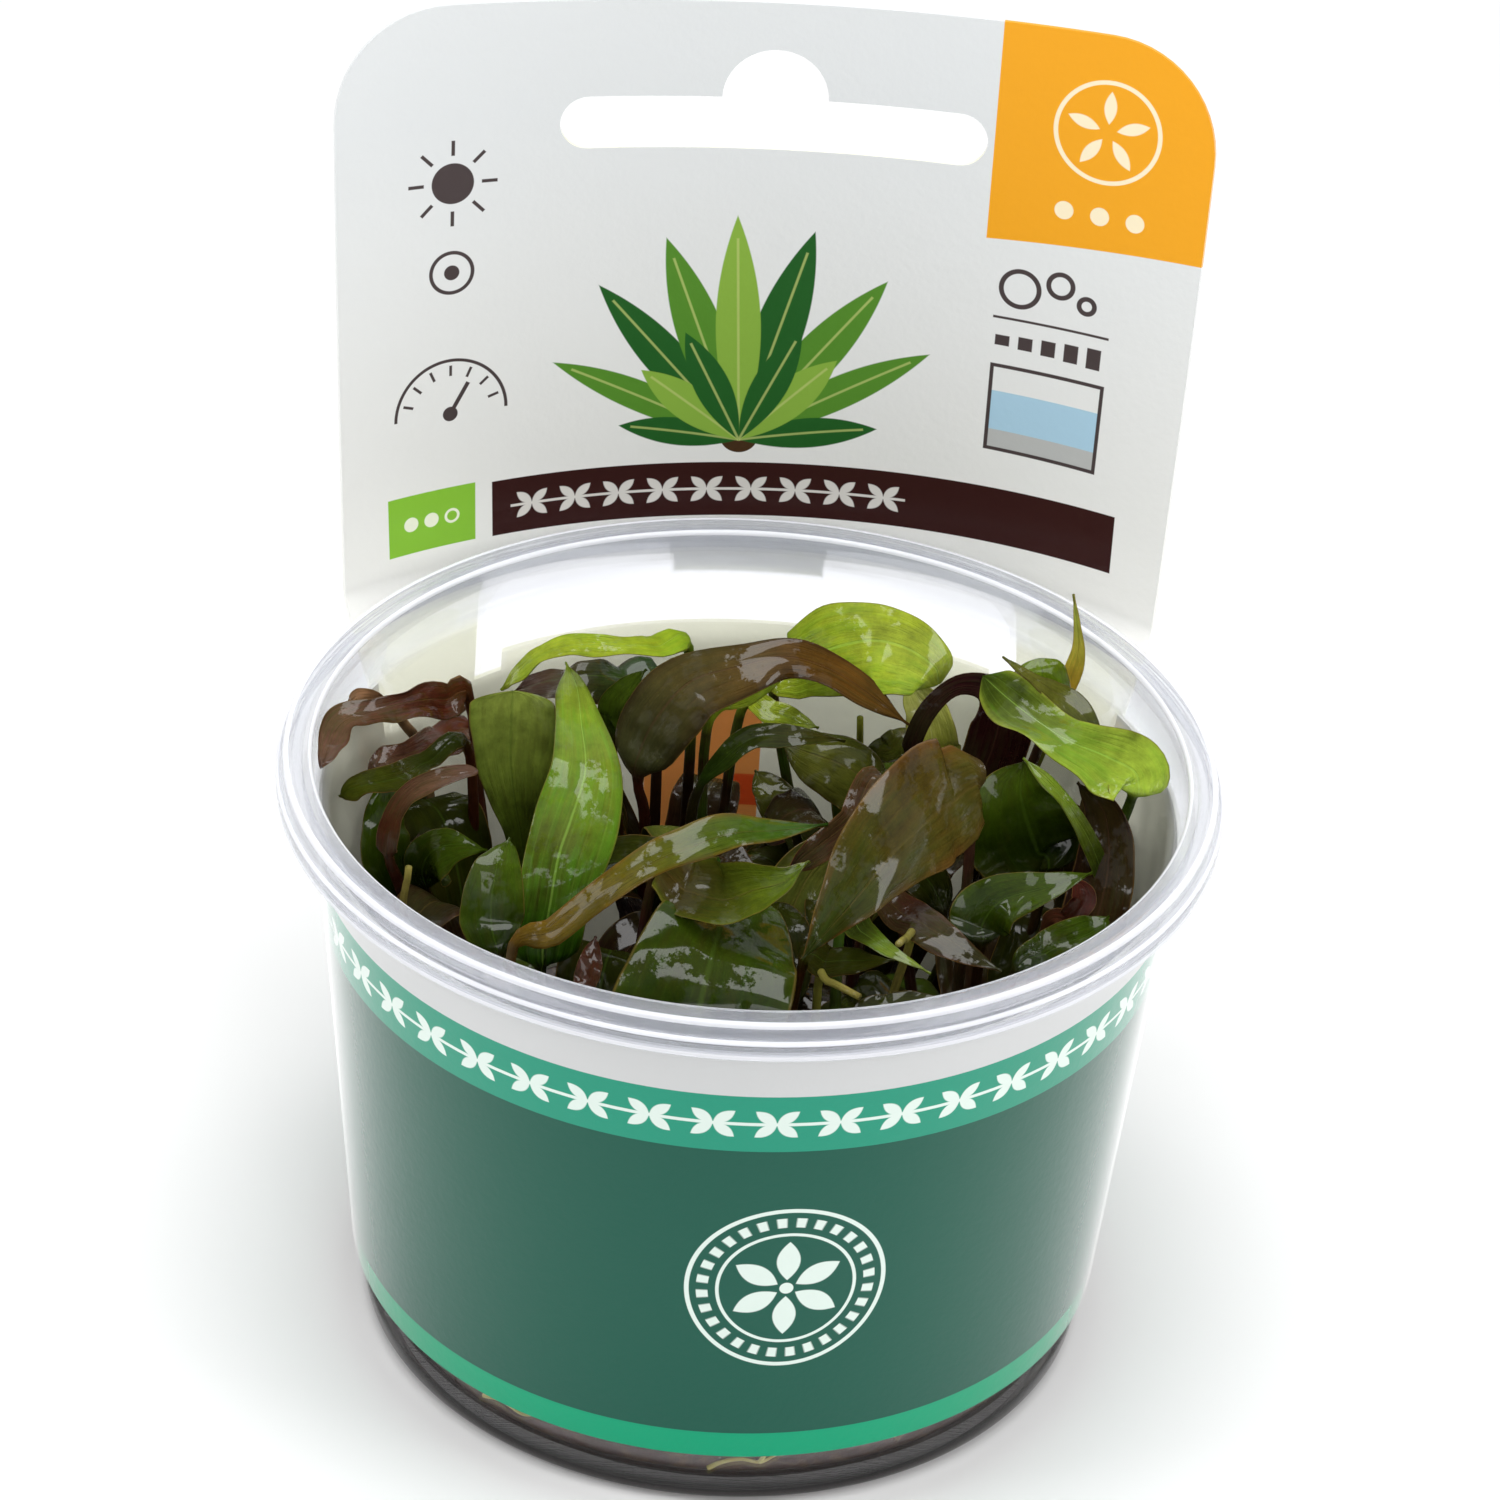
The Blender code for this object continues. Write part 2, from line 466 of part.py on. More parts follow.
def leaf_rings(leaf, root):
    """Cross-sections from the stalk's foot to the leaf's tip, six points in each."""
    spine = [Vector(p) for p in leaf.spine]
    lift = root.lerp(Vector((spine[0].x, spine[0].y, root.z)), 0.3) + Vector((0, 0, STALK_LIFT))
    points = [root, lift] + spine
    blade_from = leaf.start + 2
    stalk_steps = STALK_STEPS + (leaf.start + 1) // 2
    places = [blade_from * i / stalk_steps for i in range(stalk_steps)]
    blade_length = len(points) - 1 - blade_from
    steps = BLADE_STEPS if blade_length else 0
    if steps:
        places += [blade_from + blade_length * i / steps for i in range(steps + 1)]
    else:
        places.append(blade_from)
    power = log(0.5) / log(leaf.widest)
    path = [smooth_point(points, place) for place in places]
    rings = []
    for i, (place, centre) in enumerate(zip(places, path)):
        along = max(place - blade_from, 0) / max(blade_length, 1)
        tangent = (path[min(i + 1, len(path) - 1)] - path[max(i - 1, 0)]).normalized()
        face = Quaternion(tangent, radians(leaf.twist * along)) @ Vector(leaf.face)
        side = tangent.cross(face).normalized()
        normal = side.cross(tangent)
        reach = leaf.half_width * sin(pi * along ** power) ** 0.8
        stalk = STALK_RADIUS * (1 - along)
        half = max(reach, stalk, TIP_HALF_WIDTH)
        middle = max(BLADE_THICK / 2 * (1 - 0.5 * along), stalk if along < 0.25 else 0)
        edge = EDGE_THICK / 2 if along > 0 else middle / 2
        ring = []
        for x, thick in ((-1, edge), (0, middle), (1, edge)):
            rise = tan(radians(leaf.fold)) * max(half - STALK_RADIUS, 0) * abs(x)
            wave = leaf.wave * sin(2 * pi * (WAVES * along + 0.25 * x)) * abs(x) * (along > 0)
            ring.append((centre + side * half * x + normal * (rise + wave), thick))
        rings.append([p + normal * t for p, t in ring] + [p - normal * t for p, t in reversed(ring)])
    return rings


def make_leaf(leaf, root):
    """One leaf with its stalk: its cross-sections joined in a closed skin."""
    mesh_data = bmesh.new()
    rings = [[mesh_data.verts.new(p * MM) for p in ring] for ring in leaf_rings(leaf, root)]
    for low, high in zip(rings, rings[1:]):
        for i in range(len(low)):
            j = (i + 1) % len(low)
            mesh_data.faces.new((low[i], low[j], high[j], high[i]))
    mesh_data.faces.new(rings[0])
    mesh_data.faces.new(rings[-1])
    finish("leaf_" + leaf.name, mesh_data, (0.1, 0.25, 0.05), 0.3)


def stalk_roots(crown):
    """Where the crown's leaves stand: evenly round it, in the order of their directions."""
    cx, cy = CROWNS[crown]
    leaves = [leaf for leaf in LEAVES if leaf.crown == crown]
    heading = {leaf.name: atan2(leaf.spine[0][1] - cy, leaf.spine[0][0] - cx) for leaf in leaves}
    leaves.sort(key=lambda leaf: heading[leaf.name])
    step = 2 * pi / len(leaves)
    lead_x = sum(cos(heading[leaf.name] - i * step) for i, leaf in enumerate(leaves))
    lead_y = sum(sin(heading[leaf.name] - i * step) for i, leaf in enumerate(leaves))
    lead = atan2(lead_y, lead_x)
    roots = {}
    for i, leaf in enumerate(leaves):
        angle = lead + i * step
        roots[leaf.name] = Vector((cx + RING_RADIUS * cos(angle), cy + RING_RADIUS * sin(angle),
                                   GEL_TOP + GAP))
    return roots


def make_crown(name, place):
    """A short, knobbly rhizome stub that stands on the gel."""
    mesh_data = bmesh.new()
    foot = GEL_TOP + GAP
    heights = (foot, foot + 0.45 * CROWN_HEIGHT, foot + 0.85 * CROWN_HEIGHT, foot + CROWN_HEIGHT)
    swell = (0.85, 1.0, 0.75, 0.4)
    rings = []
    for z, share in zip(heights, swell):
        r = CROWN_RADIUS * share
        rings.append([mesh_data.verts.new(((place[0] + r * cos(a)) * MM, (place[1] + r * sin(a)) * MM,
                                           z * MM)) for a in (2 * pi * i / 8 for i in range(8))])
    for low, high in zip(rings, rings[1:]):
        for i in range(8):
            j = (i + 1) % 8
            mesh_data.faces.new((low[i], low[j], high[j], high[i]))
    mesh_data.faces.new(rings[0])
    mesh_data.faces.new(rings[-1])
    finish("crown_" + name, mesh_data, (0.2, 0.15, 0.08), 0.5)


def build():
    for item in list(bpy.data.objects):
        bpy.data.objects.remove(item)
    make_cup()
    make_gel()
    make_sleeve()
    for name, place in CROWNS.items():
        make_crown(name, place)
        roots = stalk_roots(name)
        for leaf in LEAVES:
            if leaf.crown == name:
                make_leaf(leaf, roots[leaf.name])


build()
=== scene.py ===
"""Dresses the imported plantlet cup: young water plants in a clear cup with a printed hang sleeve.

It is laid out as an add-on and run as a script: property groups hold the sizes and colours, an
operator makes each kind of piece, and a panel lists them in the 3D view's sidebar. Sizes named
here are in millimetres unless they are properties, which are in metres as Blender's are.
"""
from collections import namedtuple
from math import atan2, cos, log, pi, radians, sin, sqrt

import bpy
import numpy as np
from mathutils import Matrix, Vector


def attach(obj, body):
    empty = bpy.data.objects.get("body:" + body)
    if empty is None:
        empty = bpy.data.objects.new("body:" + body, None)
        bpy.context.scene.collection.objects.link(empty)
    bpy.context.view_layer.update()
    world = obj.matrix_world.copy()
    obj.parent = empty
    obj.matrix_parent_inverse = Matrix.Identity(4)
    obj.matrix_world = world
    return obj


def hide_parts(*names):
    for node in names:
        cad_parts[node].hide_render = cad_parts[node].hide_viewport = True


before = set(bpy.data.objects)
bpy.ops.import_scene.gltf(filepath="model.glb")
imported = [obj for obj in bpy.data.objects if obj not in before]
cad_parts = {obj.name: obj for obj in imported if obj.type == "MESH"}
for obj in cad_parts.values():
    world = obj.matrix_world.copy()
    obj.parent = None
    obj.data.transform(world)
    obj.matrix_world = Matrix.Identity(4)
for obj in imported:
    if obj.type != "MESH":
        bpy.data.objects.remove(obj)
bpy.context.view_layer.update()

bl_info = {
    "name": "Potted cryptocoryne plantlets",
    "version": (1, 0, 0),
    "blender": (4, 5, 0),
    "location": "3D View > Sidebar > Plant cup",
    "description": "Makes the finished look of a cup of aquarium plantlets round its packed frame",
    "category": "Object",
}

MM = 0.001
SEW = 0.001
SEAM_SEW = 0.0001
BODY = "root"

# Cup, as in the frame
CUP_HEIGHT = 55.4
RIM_RADIUS = 40.0
LIP_OUTER_RADIUS = 39.4
LIP_INNER_RADIUS = 36.9
WALL_RADIUS_BASE = 31.75
WALL_RADIUS_TOP = 36.1
SHOULDER_Z = 50.8
SHOULDER_RISE = 1.2
SKIRT_TOP = 53.8
SKIRT_BOTTOM = 52.1
SKIRT_WALL = 0.7
BASE_CORNER = 1.8
FLOOR_Z = 1.4
FLOOR_CORNER = 2.6
GAP = 0.3
LIP_GROOVE_RADII = (38.4, 37.6)
BASE_RECESS = 0.5
MID_WALL_Z = 20.0
CUP_STEPS = 192
SMOOTH_ANGLE = 40

# How the cup's plastic shows: how far it covers what is behind it, where it turns milk-white, and
# the bright lines painted as highlights along the rim's lip and skirt
WALL_COVER = 0.12
RIM_COVER = 0.28
FOOT_COVER = 0.7
FOOT_Z = 2.6
RIM_SOFT = 0.8
FOOT_SOFT = 1.2
RIM_MILK = 0.14
# Painted highlights on the rim: how strongly its bright lines show, how soft their sides are, and
# the heights of their bands
PAINTED_HIGHLIGHT_SHARE = 0.6
PAINTED_HIGHLIGHT_SOFT = 0.1
PAINTED_HIGHLIGHT_BANDS = ((CUP_HEIGHT - 0.5, CUP_HEIGHT - 0.02), (SKIRT_TOP - 0.15, SKIRT_TOP + 0.15),
              (SKIRT_BOTTOM + 0.1, SKIRT_BOTTOM + 0.55))

# Gel
GEL_TOP = 13.0
GEL_EDGE_RISE = 0.6
GEL_EDGE_WIDTH = 1.2
GEL_STEPS = 160

# Sleeve, as in the frame
SHEET = 0.4
SLIT = 0.6
SLEEVE_BOTTOM = 6.3
SLEEVE_TOP = 50.2
TAG_HALF_WIDTH = 38.6
TAG_TOP = 105.4
TAG_CORNER = 10.0
TAG_ROOT_Z = 44.0
TAG_CLEAR_Z = 52.2
TAG_DISTANCE = 40.8
TAG_BOW_Z = 55.6
TAG_BOW = 0.0165
TAG_BOW_FALL = 0.000156
SLOT_HALF = 18.5
SLOT_LOW = 91.5
SLOT_HIGH = 96.4
SLOT_BUMP = 4.6
WINDOW_HALF = 24.2
WINDOW_LOW = 45.9
WINDOW_HIGH = 50.8
WINDOW_CORNER = 1.6
WINDOW_NOTCH_WIDTH = 2.3
WINDOW_NOTCH_DEPTH = 1.2
WINDOW_TAB_HALF = 6.8
WINDOW_TAB_LOW = 49.5
CUTTER_NEAR = 20.0
CUTTER_FAR = 50.0
TAG_COLUMNS = 56
FRONT_COLUMNS = 112
LOW_ROWS = 16
TOP_ROWS = 4
ROOT_ROWS = 12
TAG_ROWS = 20
CORNER_ROWS = 14
SHEET_SMOOTH_ANGLE = 35
UV_SPAN = 100.0
UV_OUTER = 6.0

# Print, by height above the floor and by way across from the tag's middle; the first two set the
# painted shade that greys the tag's face towards its top
TAG_PAINTED_SHADE_Z = 75.0
TAG_PAINTED_SHADE_DEPTH = 40.0
INNER_PRINT_Z = 50.0
INNER_PANEL = (-3.5, 31.5)
CORNER_LEFT = 19.2
CORNER_LOW = 83.7
CORNER_SLOPE = 0.067
BADGE = (29.0, 96.6)
BADGE_DOTS = (25.8, 88.8)
BAR = (4.85, 57.6)
BAR_TILT = 1.5
BAR_SPRIGS = (-27.0, 9.0, 4.0)
PATCH = (-29.75, 56.9)
SUN = (-28.0, 89.0)
EYE = (-28.0, 80.6)
DIAL = (-28.0, 67.0)
BUBBLES = ((22.6, 80.6, 1.7), (26.2, 81.6, 1.1), (28.7, 80.2, 0.7))
RULE = (25.7, 77.6)
STAIRS = (21.4, 75.4)
BASIN = (25.8, 68.8)
DRAWN_PLANT = (-1.5, 62.5)
PALE_EDGE_Z = 46.2
BAND_Z = 40.4
STRIPE_Z = 9.0
SPRIG_Z = 43.3
SPRIGS = 44
SEAL_ACROSS = 4.46
SEAL_Z = 25.5
SEAL_BEADS = 28

# Leaves, as in the frame
STALK_RADIUS = 0.68
BARE_STALK_RADIUS = 0.45
BLADE_THICK = 0.5
EDGE_THICK = 0.16
TIP_HALF_WIDTH = 0.12
CROWN_RADIUS = 1.6
CROWN_HEIGHT = 3.2
RING_RADIUS = 3.1
STALK_LIFT = 9.0
BASE_SHARE = 0.1
ROUND_FROM = 0.92
WAVES = 2.3
RIPPLES = 5.3
RIPPLE_SHARE = 0.35
STALK_LEAN = 0.3
STALK_TAPER = 0.35
STALK_BLEND = 0.08
FLAT_SHARE = 0.14
CREASE_SOFT = 0.02
CREASE_DROP = 0.14
MARGIN_FROM = 0.72
MARGIN_SHARE = 0.8
STALK_RINGS = 16
BLADE_RINGS = 56
AROUND = 28

# Young leaves: how many round a crown, how high they rise, how far each point of the midrib is
# from the crown with its share of the height, and the looks that they take in turn; those of a
# fan reach out further and lower, towards the front of the cup
YOUNG_LEAVES = 7
YOUNG_LOW = 16.0
YOUNG_HIGH = 34.0
YOUNG_CLEAR = 3.4
YOUNG_BACK_RISE = 0.7
YOUNG_FRONT_RISE = 0.4
YOUNG_PATH = ((3.0, 0.4), (4.5, 0.75), (7.0, 0.97), (10.0, 1.0), (12.5, 0.9))
YOUNG_WIDTH = 2.4
YOUNG_EXTRA_WIDTH = 1.8
YOUNG_LOOKS = ("dark", "purple", "olive", "dark", "ruddy", "green")
GOLDEN_SHARE = 0.618
FAN_CROWNS = ("front_left", "front", "right")
FAN_LEAVES = 5
FAN_START = 160
FAN_SPAN = 140
FAN_REACH = 1.6
FAN_RISE = 20.0
FAN_CLEAR = 5.2
FAN_WIDTH = 3.4

# Fine roots in the gel
THREAD_RADIUS = 0.24
THREAD_TAPER = 0.6
THREAD_PROUD = 0.02
THREAD_RINGS = 40
THREAD_AROUND = 10

# How a leaf shows: darker under a height, which is painted shade standing for the shade deep in the
# foliage, and wet in the places where a noise is high
SHADE_Z = 42.0
SHADE_SOFT = 8.0
SHADE_SHARE = 0.45
FILM_FROM = 0.76
FILM_SOFT = 0.04
FILM_COAT = 0.66
DRY_COAT = 0.015

CROWNS = {
    "left": (-21.5, 5.0),
    "front_left": (-13.5, -11.5),
    "back": (-5.5, 17.5),
    "front": (5.5, -12.5),
    "back_right": (13.0, 16.5),
    "right": (22.0, -1.5),
}

# A leaf: the crown it grows from, the midrib points, which of them the blade starts from, the
# ways its upper side faces on the way to its tip, its look, the half widths left and right of
# the midrib at even steps along the blade, its fold and curl in degrees, and its edge waves
Leaf = namedtuple("Leaf", "name crown spine start faces look left right fold curl wave",
                  defaults=(None, 12, 0, 0.2))


def lance(half_width, widest=0.5, steps=8):
    """Half widths at even steps along a plain lance-shaped blade."""
    power = log(0.5) / log(widest)
    return [half_width * sin(pi * (i / steps) ** power) ** 0.8 for i in range(steps)] + [0]


LEAVES = (
    Leaf("wall_brown", "left",
         ((-24, 15, 48.5), (-26.5, 12.5, 51.5), (-29.5, 8.5, 53.5), (-32, 6, 54), (-34.5, 4, 54),
          (-35.5, 1.5, 53.5), (-36, -1.5, 53)), 0,
         ((0.3, -0.9, 0.1), (0.2, -0.8, 0.5), (0.1, -0.45, 0.9), (-0.4, -0.5, 0.75)), "brown",
         (1.5, 2, 1.5, 1.1, 1.4, 1.2, 0.5), (1.2, 1.4, 1.1, 1.3, 1.7, 1.3, 0.5), 5, 30, 0.4),
    Leaf("wall_tan", "left",
         ((-28, 18, 40), (-30, 15.5, 47), (-32, 12.5, 50.8), (-33.5, 10.5, 52.3), (-34.5, 9, 52.3)),
         1, ((0.3, -0.7, 0.6),), "tan", (0.5, 0.7, 1.1, 1.2, 0.5), (0.5, 0.6, 0.9, 1, 0.5)),
    Leaf("left_brown", "left",
         ((-24, 19, 42), (-26.5, 15.5, 45), (-29.5, 11, 46.5), (-31.5, 9.5, 46.5),
          (-32.5, 9, 45.5)), 0, ((0.1, -0.6, 0.8),), "brown",
         (1.2, 1.8, 1.8, 1.4, 1.3, 1, 0.3), (1.2, 1.8, 1.7, 1.2, 1.4, 1, 0.3), 8, 15, 0.4),
    Leaf("left_long", "left",
         ((-24, 12, 46), (-27.5, 7.5, 48), (-29.5, 3.5, 49), (-32, 1.5, 49.5), (-33.5, 1, 49.3),
          (-34.7, 1, 48.5)), 0, ((0, -0.5, 0.85), (-0.1, -0.4, 0.9)), "dark",
         (1, 1.2, 1.5, 1.5, 1.6, 1.2, 0), (1, 1.1, 1.6, 1.5, 1.3, 1, 0), 15, 20, 0.3),
    Leaf("left_wall", "left",
         ((-29.5, 2, 37), (-30.5, 2, 41), (-31, 2.7, 44.5), (-31, 4.5, 48)), 0,
         ((0.45, -0.6, 0.7),),
         "deep", (0.8, 1.6, 2.2, 2.4, 2.1, 1.5, 0.5), (0.8, 1.8, 2.4, 2.6, 2.3, 1.6, 0.5), 5, -20),
    Leaf("left_strap", "left",
         ((-29, 1.5, 38), (-30.3, 0, 43), (-30.4, -1, 46.3), (-29.5, -1, 49), (-28, -1, 51),
          (-25.5, -0.5, 52), (-23, 0.5, 52)), 1,
         ((-0.2, -0.9, 0.2), (-0.3, -0.7, 0.6), (-0.2, -0.5, 0.8)), "brown",
         (0.8, 1, 1, 1, 1, 0.9, 0.6), (0.8, 1.2, 1.1, 1.1, 1.2, 1, 0.6), 20, 20, 0.1),
    Leaf("left_low", "left",
         ((-25.5, 4.5, 32), (-27.3, 3, 38), (-27.5, 2, 41), (-26.5, 1, 43.5), (-24.5, 0.5, 44.5),
          (-22, 0, 44.3)), 1,
         ((0, -0.6, 0.8),), "deep",
         (1, 1.4, 2, 1.8, 1.4, 0.7, 0), (1.4, 2.4, 3, 3, 2.4, 1.3, 0), 10, -15),
    Leaf("left_cut_stalk", "left", ((-28.5, -3.5, 38), (-28.5, -4, 45)), 1, ((0, -1, 0),), "pale",
         (0,)),
    Leaf("left_tall", "left",
         ((-18.5, 12.5, 30), (-19.3, 11.3, 38), (-20, 10, 43), (-20.5, 9.5, 47.5),
          (-20.5, 9.5, 51.5), (-20.5, 10, 54.2)), 0, ((0.1, -0.95, 0.3),), "sage",
         (0.8, 1.2, 1.6, 2.2, 3, 3.5, 3.8, 3.7), (0.9, 1.3, 1.8, 2.7, 3.6, 4.1, 4, 3.7), 8, 15),
    Leaf("hero_bright", "front_left",
         ((-17, -7, 36), (-17, -7.5, 40), (-16.5, -7.5, 44), (-16, -5.5, 47.5), (-15, -3, 50),
          (-14, 0.5, 52.5), (-14.5, 5.5, 54), (-15, 9.5, 55), (-16, 13.5, 55)), 0,
         ((0.1, -0.62, 0.78),), "bright", (1.5, 2.8, 2.8, 2.8, 3.1, 2.9, 2.2, 1.8, 0),
         (1.5, 3.2, 3.4, 4.2, 4.2, 3.3, 2, 0.8, 0), 10, -15, 0.25),
    Leaf("front_oval", "front_left",
         ((-20.5, -14, 42), (-21.3, -12.5, 46), (-21, -10.5, 49.5), (-20, -8, 51)), 0,
         ((0, -0.55, 0.82),), "deep",
         (1.4, 2.2, 2.6, 2.4, 1.9, 1.1, 0), (1.4, 2.3, 2.8, 2.7, 2.3, 1.5, 0), 12, -25),
    Leaf("long_diagonal", "front_left",
         ((-19.5, -16, 44), (-16, -15.5, 47), (-12.5, -14, 49.5), (-9, -12.5, 51.5),
          (-5.5, -11, 52.5), (-1.5, -9, 53), (2.5, -7.5, 52.5), (6.5, -5.5, 52)), 0,
         ((0.3, -0.85, 0.45), (0.15, -0.7, 0.7), (0, -0.42, 0.9), (0, -0.42, 0.9)), "diagonal",
         (1, 1.1, 1.3, 1.9, 2, 1.5, 0), (1, 1.2, 1.1, 1.2, 1.4, 1.1, 0), 10, -15, 0.3),
    Leaf("boat", "front_left",
         ((-8, -5, 44.5), (-5, -7.5, 46), (-2, -10, 47), (0.5, -10.5, 48.5), (3, -10.5, 49.5),
          (5, -9.5, 51)), 0, ((0, -0.7, 0.7),), "boat",
         (2, 3, 3.9, 3.6, 2.5, 1.2, 0), (1.5, 2.4, 3, 2.8, 2.1, 1, 0), 10, 45),
    Leaf("front_red", "front_left",
         ((-13.5, -15, 38), (-13, -13.5, 41.5), (-12.5, -11, 43.5)), 0, ((0, -0.6, 0.8),), "red",
         lance(1.1)),
    Leaf("back_arch", "back",
         ((-8.5, 16, 37), (-9.3, 15, 42), (-9, 14.5, 46.5), (-7.5, 14.5, 50), (-5, 15.3, 52.7),
          (-1, 15.8, 54), (3, 16.8, 54.6), (7, 16.3, 53.8), (10.5, 15.3, 52), (14, 15, 49.3)), 1,
         ((-0.35, -0.85, 0.4), (-0.35, -0.75, 0.55), (-0.2, -0.6, 0.75), (0.2, -0.7, 0.65),
          (0.5, -0.8, 0.3)), "arch",
         (2, 2.9, 3.1, 2.6, 1.8, 1.5, 1.4, 0), (1.8, 3.4, 3.9, 3.5, 2.4, 1.6, 1.4, 0),
         10, -25, 0.3),
    Leaf("arch_lining", "back",
         ((-3.5, 17.5, 46), (0, 18.5, 50), (4.5, 19.5, 53)), 0, ((0, -0.8, 0.5),), "lime",
         lance(1.3)),
    Leaf("back_long", "back",
         ((-5, 22, 50), (-8.5, 18.5, 53.8), (-12, 17, 54.7), (-15.5, 16.5, 54.9), (-18, 15.5, 54.5),
          (-20, 16, 52.3), (-21.5, 17.5, 49.5)), 0, ((0, -0.35, 0.95),), "lime",
         (1.5, 1.5, 1, 1, 1, 0.9, 0), (1.4, 1.4, 1.1, 1.2, 1.2, 1, 0), 10, 0, 0.3),
    Leaf("back_low", "back",
         ((-8, 23, 46.5), (-11, 21, 49), (-14.5, 19.5, 50), (-17.5, 20, 49), (-20.5, 22, 46.5)), 0,
         ((0, -0.5, 0.85),), "ridged",
         (1.2, 2.4, 2.7, 2.5, 2, 1.2, 0), (1, 1.7, 1.6, 1.4, 1.3, 1.2, 0), 8, -20, 0.4),
    Leaf("back_small", "back",
         ((-11.7, 19, 43), (-11.7, 17.7, 47.5), (-10.8, 17.5, 50), (-9, 18.5, 51.7)), 0,
         ((0, -0.7, 0.7),), "green", (0.8, 1.2, 1.5, 1.3, 0.8, 0)),
    Leaf("back_strap", "back",
         ((-4.5, 14.5, 37), (-4, 13, 43), (-2, 12.5, 46.5), (0.5, 13, 48.5), (4.5, 12, 49.5),
          (8.5, 14, 48)), 1, ((0, -0.6, 0.8),), "strap", lance(1.2), None, 15),
    Leaf("back_shoot", "back",
         ((-0.5, 23.5, 44), (2.5, 21, 46), (6.5, 21.5, 44.5)), 0, ((0, -0.7, 0.7),), "lime",
         lance(1.2)),
    Leaf("lime_round", "back_right",
         ((2.5, 26, 45), (4, 23.5, 49.5), (7, 21, 53), (10.5, 19.5, 55), (13.5, 18.5, 55),
          (16, 18, 53.5), (16.5, 18.5, 51.5)), 0,
         ((0, -0.7, 0.7), (0.1, -0.7, 0.7), (0.35, -0.75, 0.55)), "lime",
         (1.5, 2.6, 4, 3.4, 2.8, 2.3, 1.4), (1.5, 3, 4.3, 5, 4.6, 3.4, 1.6), 5, -12, 0.25),
    Leaf("pale_yellow", "back_right",
         ((16.7, 19.5, 41), (16.5, 19.2, 45), (15.5, 20, 48), (13.9, 21.5, 49.8)), 0,
         ((0, -0.85, 0.5),), "yellow",
         (1.6, 2.5, 2.8, 2.6, 2.1, 1.4, 0), (1.4, 2.4, 2.6, 2.5, 2.1, 1.4, 0), 20, 20, 0.1),
    Leaf("purple_arch", "back_right",
         ((14.5, 16.5, 43), (14.5, 15.5, 47), (15.7, 15.5, 50.7), (18, 16, 52.8), (20.5, 15.5, 53),
          (21.8, 15, 51), (21.5, 14.5, 48), (20.5, 14, 44.5), (19.5, 14, 41.5)), 0,
         ((-0.3, -0.9, 0.2), (-0.3, -0.8, 0.5), (0.3, -0.9, 0.4), (0.1, -0.95, 0.2)),
         "deep_purple", (0.7, 0.8, 0.8, 0.9, 1.4, 2.8, 3.2, 2.6, 0),
         (0.7, 0.8, 0.8, 0.8, 1.2, 2.6, 3, 2.4, 0), 12, 0, 0.15),
    Leaf("olive_hood", "back_right",
         ((12.5, 14.5, 40), (11, 15, 43), (8.5, 15.5, 44.5), (5.5, 16.5, 45), (3.5, 18.5, 44.5)), 0,
         ((0, -0.75, 0.65),), "olive",
         (2, 3.2, 3.5, 3.4, 2.8, 1.8, 0.4), (1.4, 2, 2.4, 2.6, 2.4, 1.6, 0.4), 5, -25),
    Leaf("olive_inner", "back_right",
         ((5, 14.5, 37), (3, 16, 40), (1, 18, 42)), 0, ((0, -0.6, 0.8),), "olive", lance(1.9)),
    Leaf("young_shoot", "back_right", ((10.5, 21, 40), (10, 19.5, 47)), 1, ((0, -1, 0),), "yellow",
         (0,)),
    Leaf("olive_low", "back_right",
         ((11, 19.5, 41), (13, 19.5, 44), (14.5, 21.5, 45)), 0, ((0, -0.6, 0.8),), "olive",
         lance(1.4)),
    Leaf("upright_tip", "back_right",
         ((26.6, 19.3, 46), (27.5, 19.7, 49.3), (28.3, 20.2, 52), (28.7, 20.5, 54.5),
          (28.4, 20.8, 57), (27.9, 21.3, 59.5)), 1, ((-0.2, -0.95, 0.2),), "tip",
         (0.55, 0.85, 0.85, 0.6, 0.4, 0.25, 0), (0.55, 0.9, 1, 0.7, 0.4, 0.25, 0), 25, 10, 0),
    Leaf("round_dark", "back_right",
         ((26, 17.5, 47), (25.8, 18, 50), (25.5, 18.5, 53), (25.3, 19.5, 53.9)), 0,
         ((0, -0.8, 0.6),), "round", (1.6, 2.3, 2.6, 2.6, 2.2, 1.2), (1.6, 2.3, 2.5, 2.4, 2, 1.1),
         5, -20, 0.1),
    Leaf("right_wavy", "right",
         ((30.5, 4, 42), (31.8, 3, 47), (32.6, 2, 51.2), (32.7, 2.2, 53.4), (30.2, 2.8, 54.6),
          (26.5, 4.5, 55.2), (22.5, 8.3, 56), (20, 12.5, 56)), 2,
         ((0.3, -0.75, 0.6), (0.1, -0.7, 0.7), (0, -0.55, 0.85), (-0.1, -0.5, 0.85)), "wavy",
         (1.6, 3.2, 3.6, 2.6, 2.3, 2.3, 0.8), (1.8, 3, 3, 2.3, 2.2, 2.4, 1.6), 5, 10, 0.5),
    Leaf("right_narrow", "right",
         ((29.5, 8, 47), (29.8, 8.6, 51.6), (28.3, 8.8, 55), (25.5, 9.2, 57), (23.5, 10.7, 57.6),
          (21.5, 12.8, 58)), 1, ((0.3, -0.7, 0.6), (0, -0.45, 0.9), (0, -0.45, 0.9)), "olive",
         (0.4, 1, 1.3, 1, 0.6, 0.35, 0), None, 15, 0, 0.1),
    Leaf("right_broad", "right",
         ((26.2, 5.5, 40), (25.2, 5, 43.5), (24, 4.5, 47), (23.3, 4.7, 49.8), (23.5, 6, 51.8)), 0,
         ((-0.1, -0.8, 0.55),), "deep",
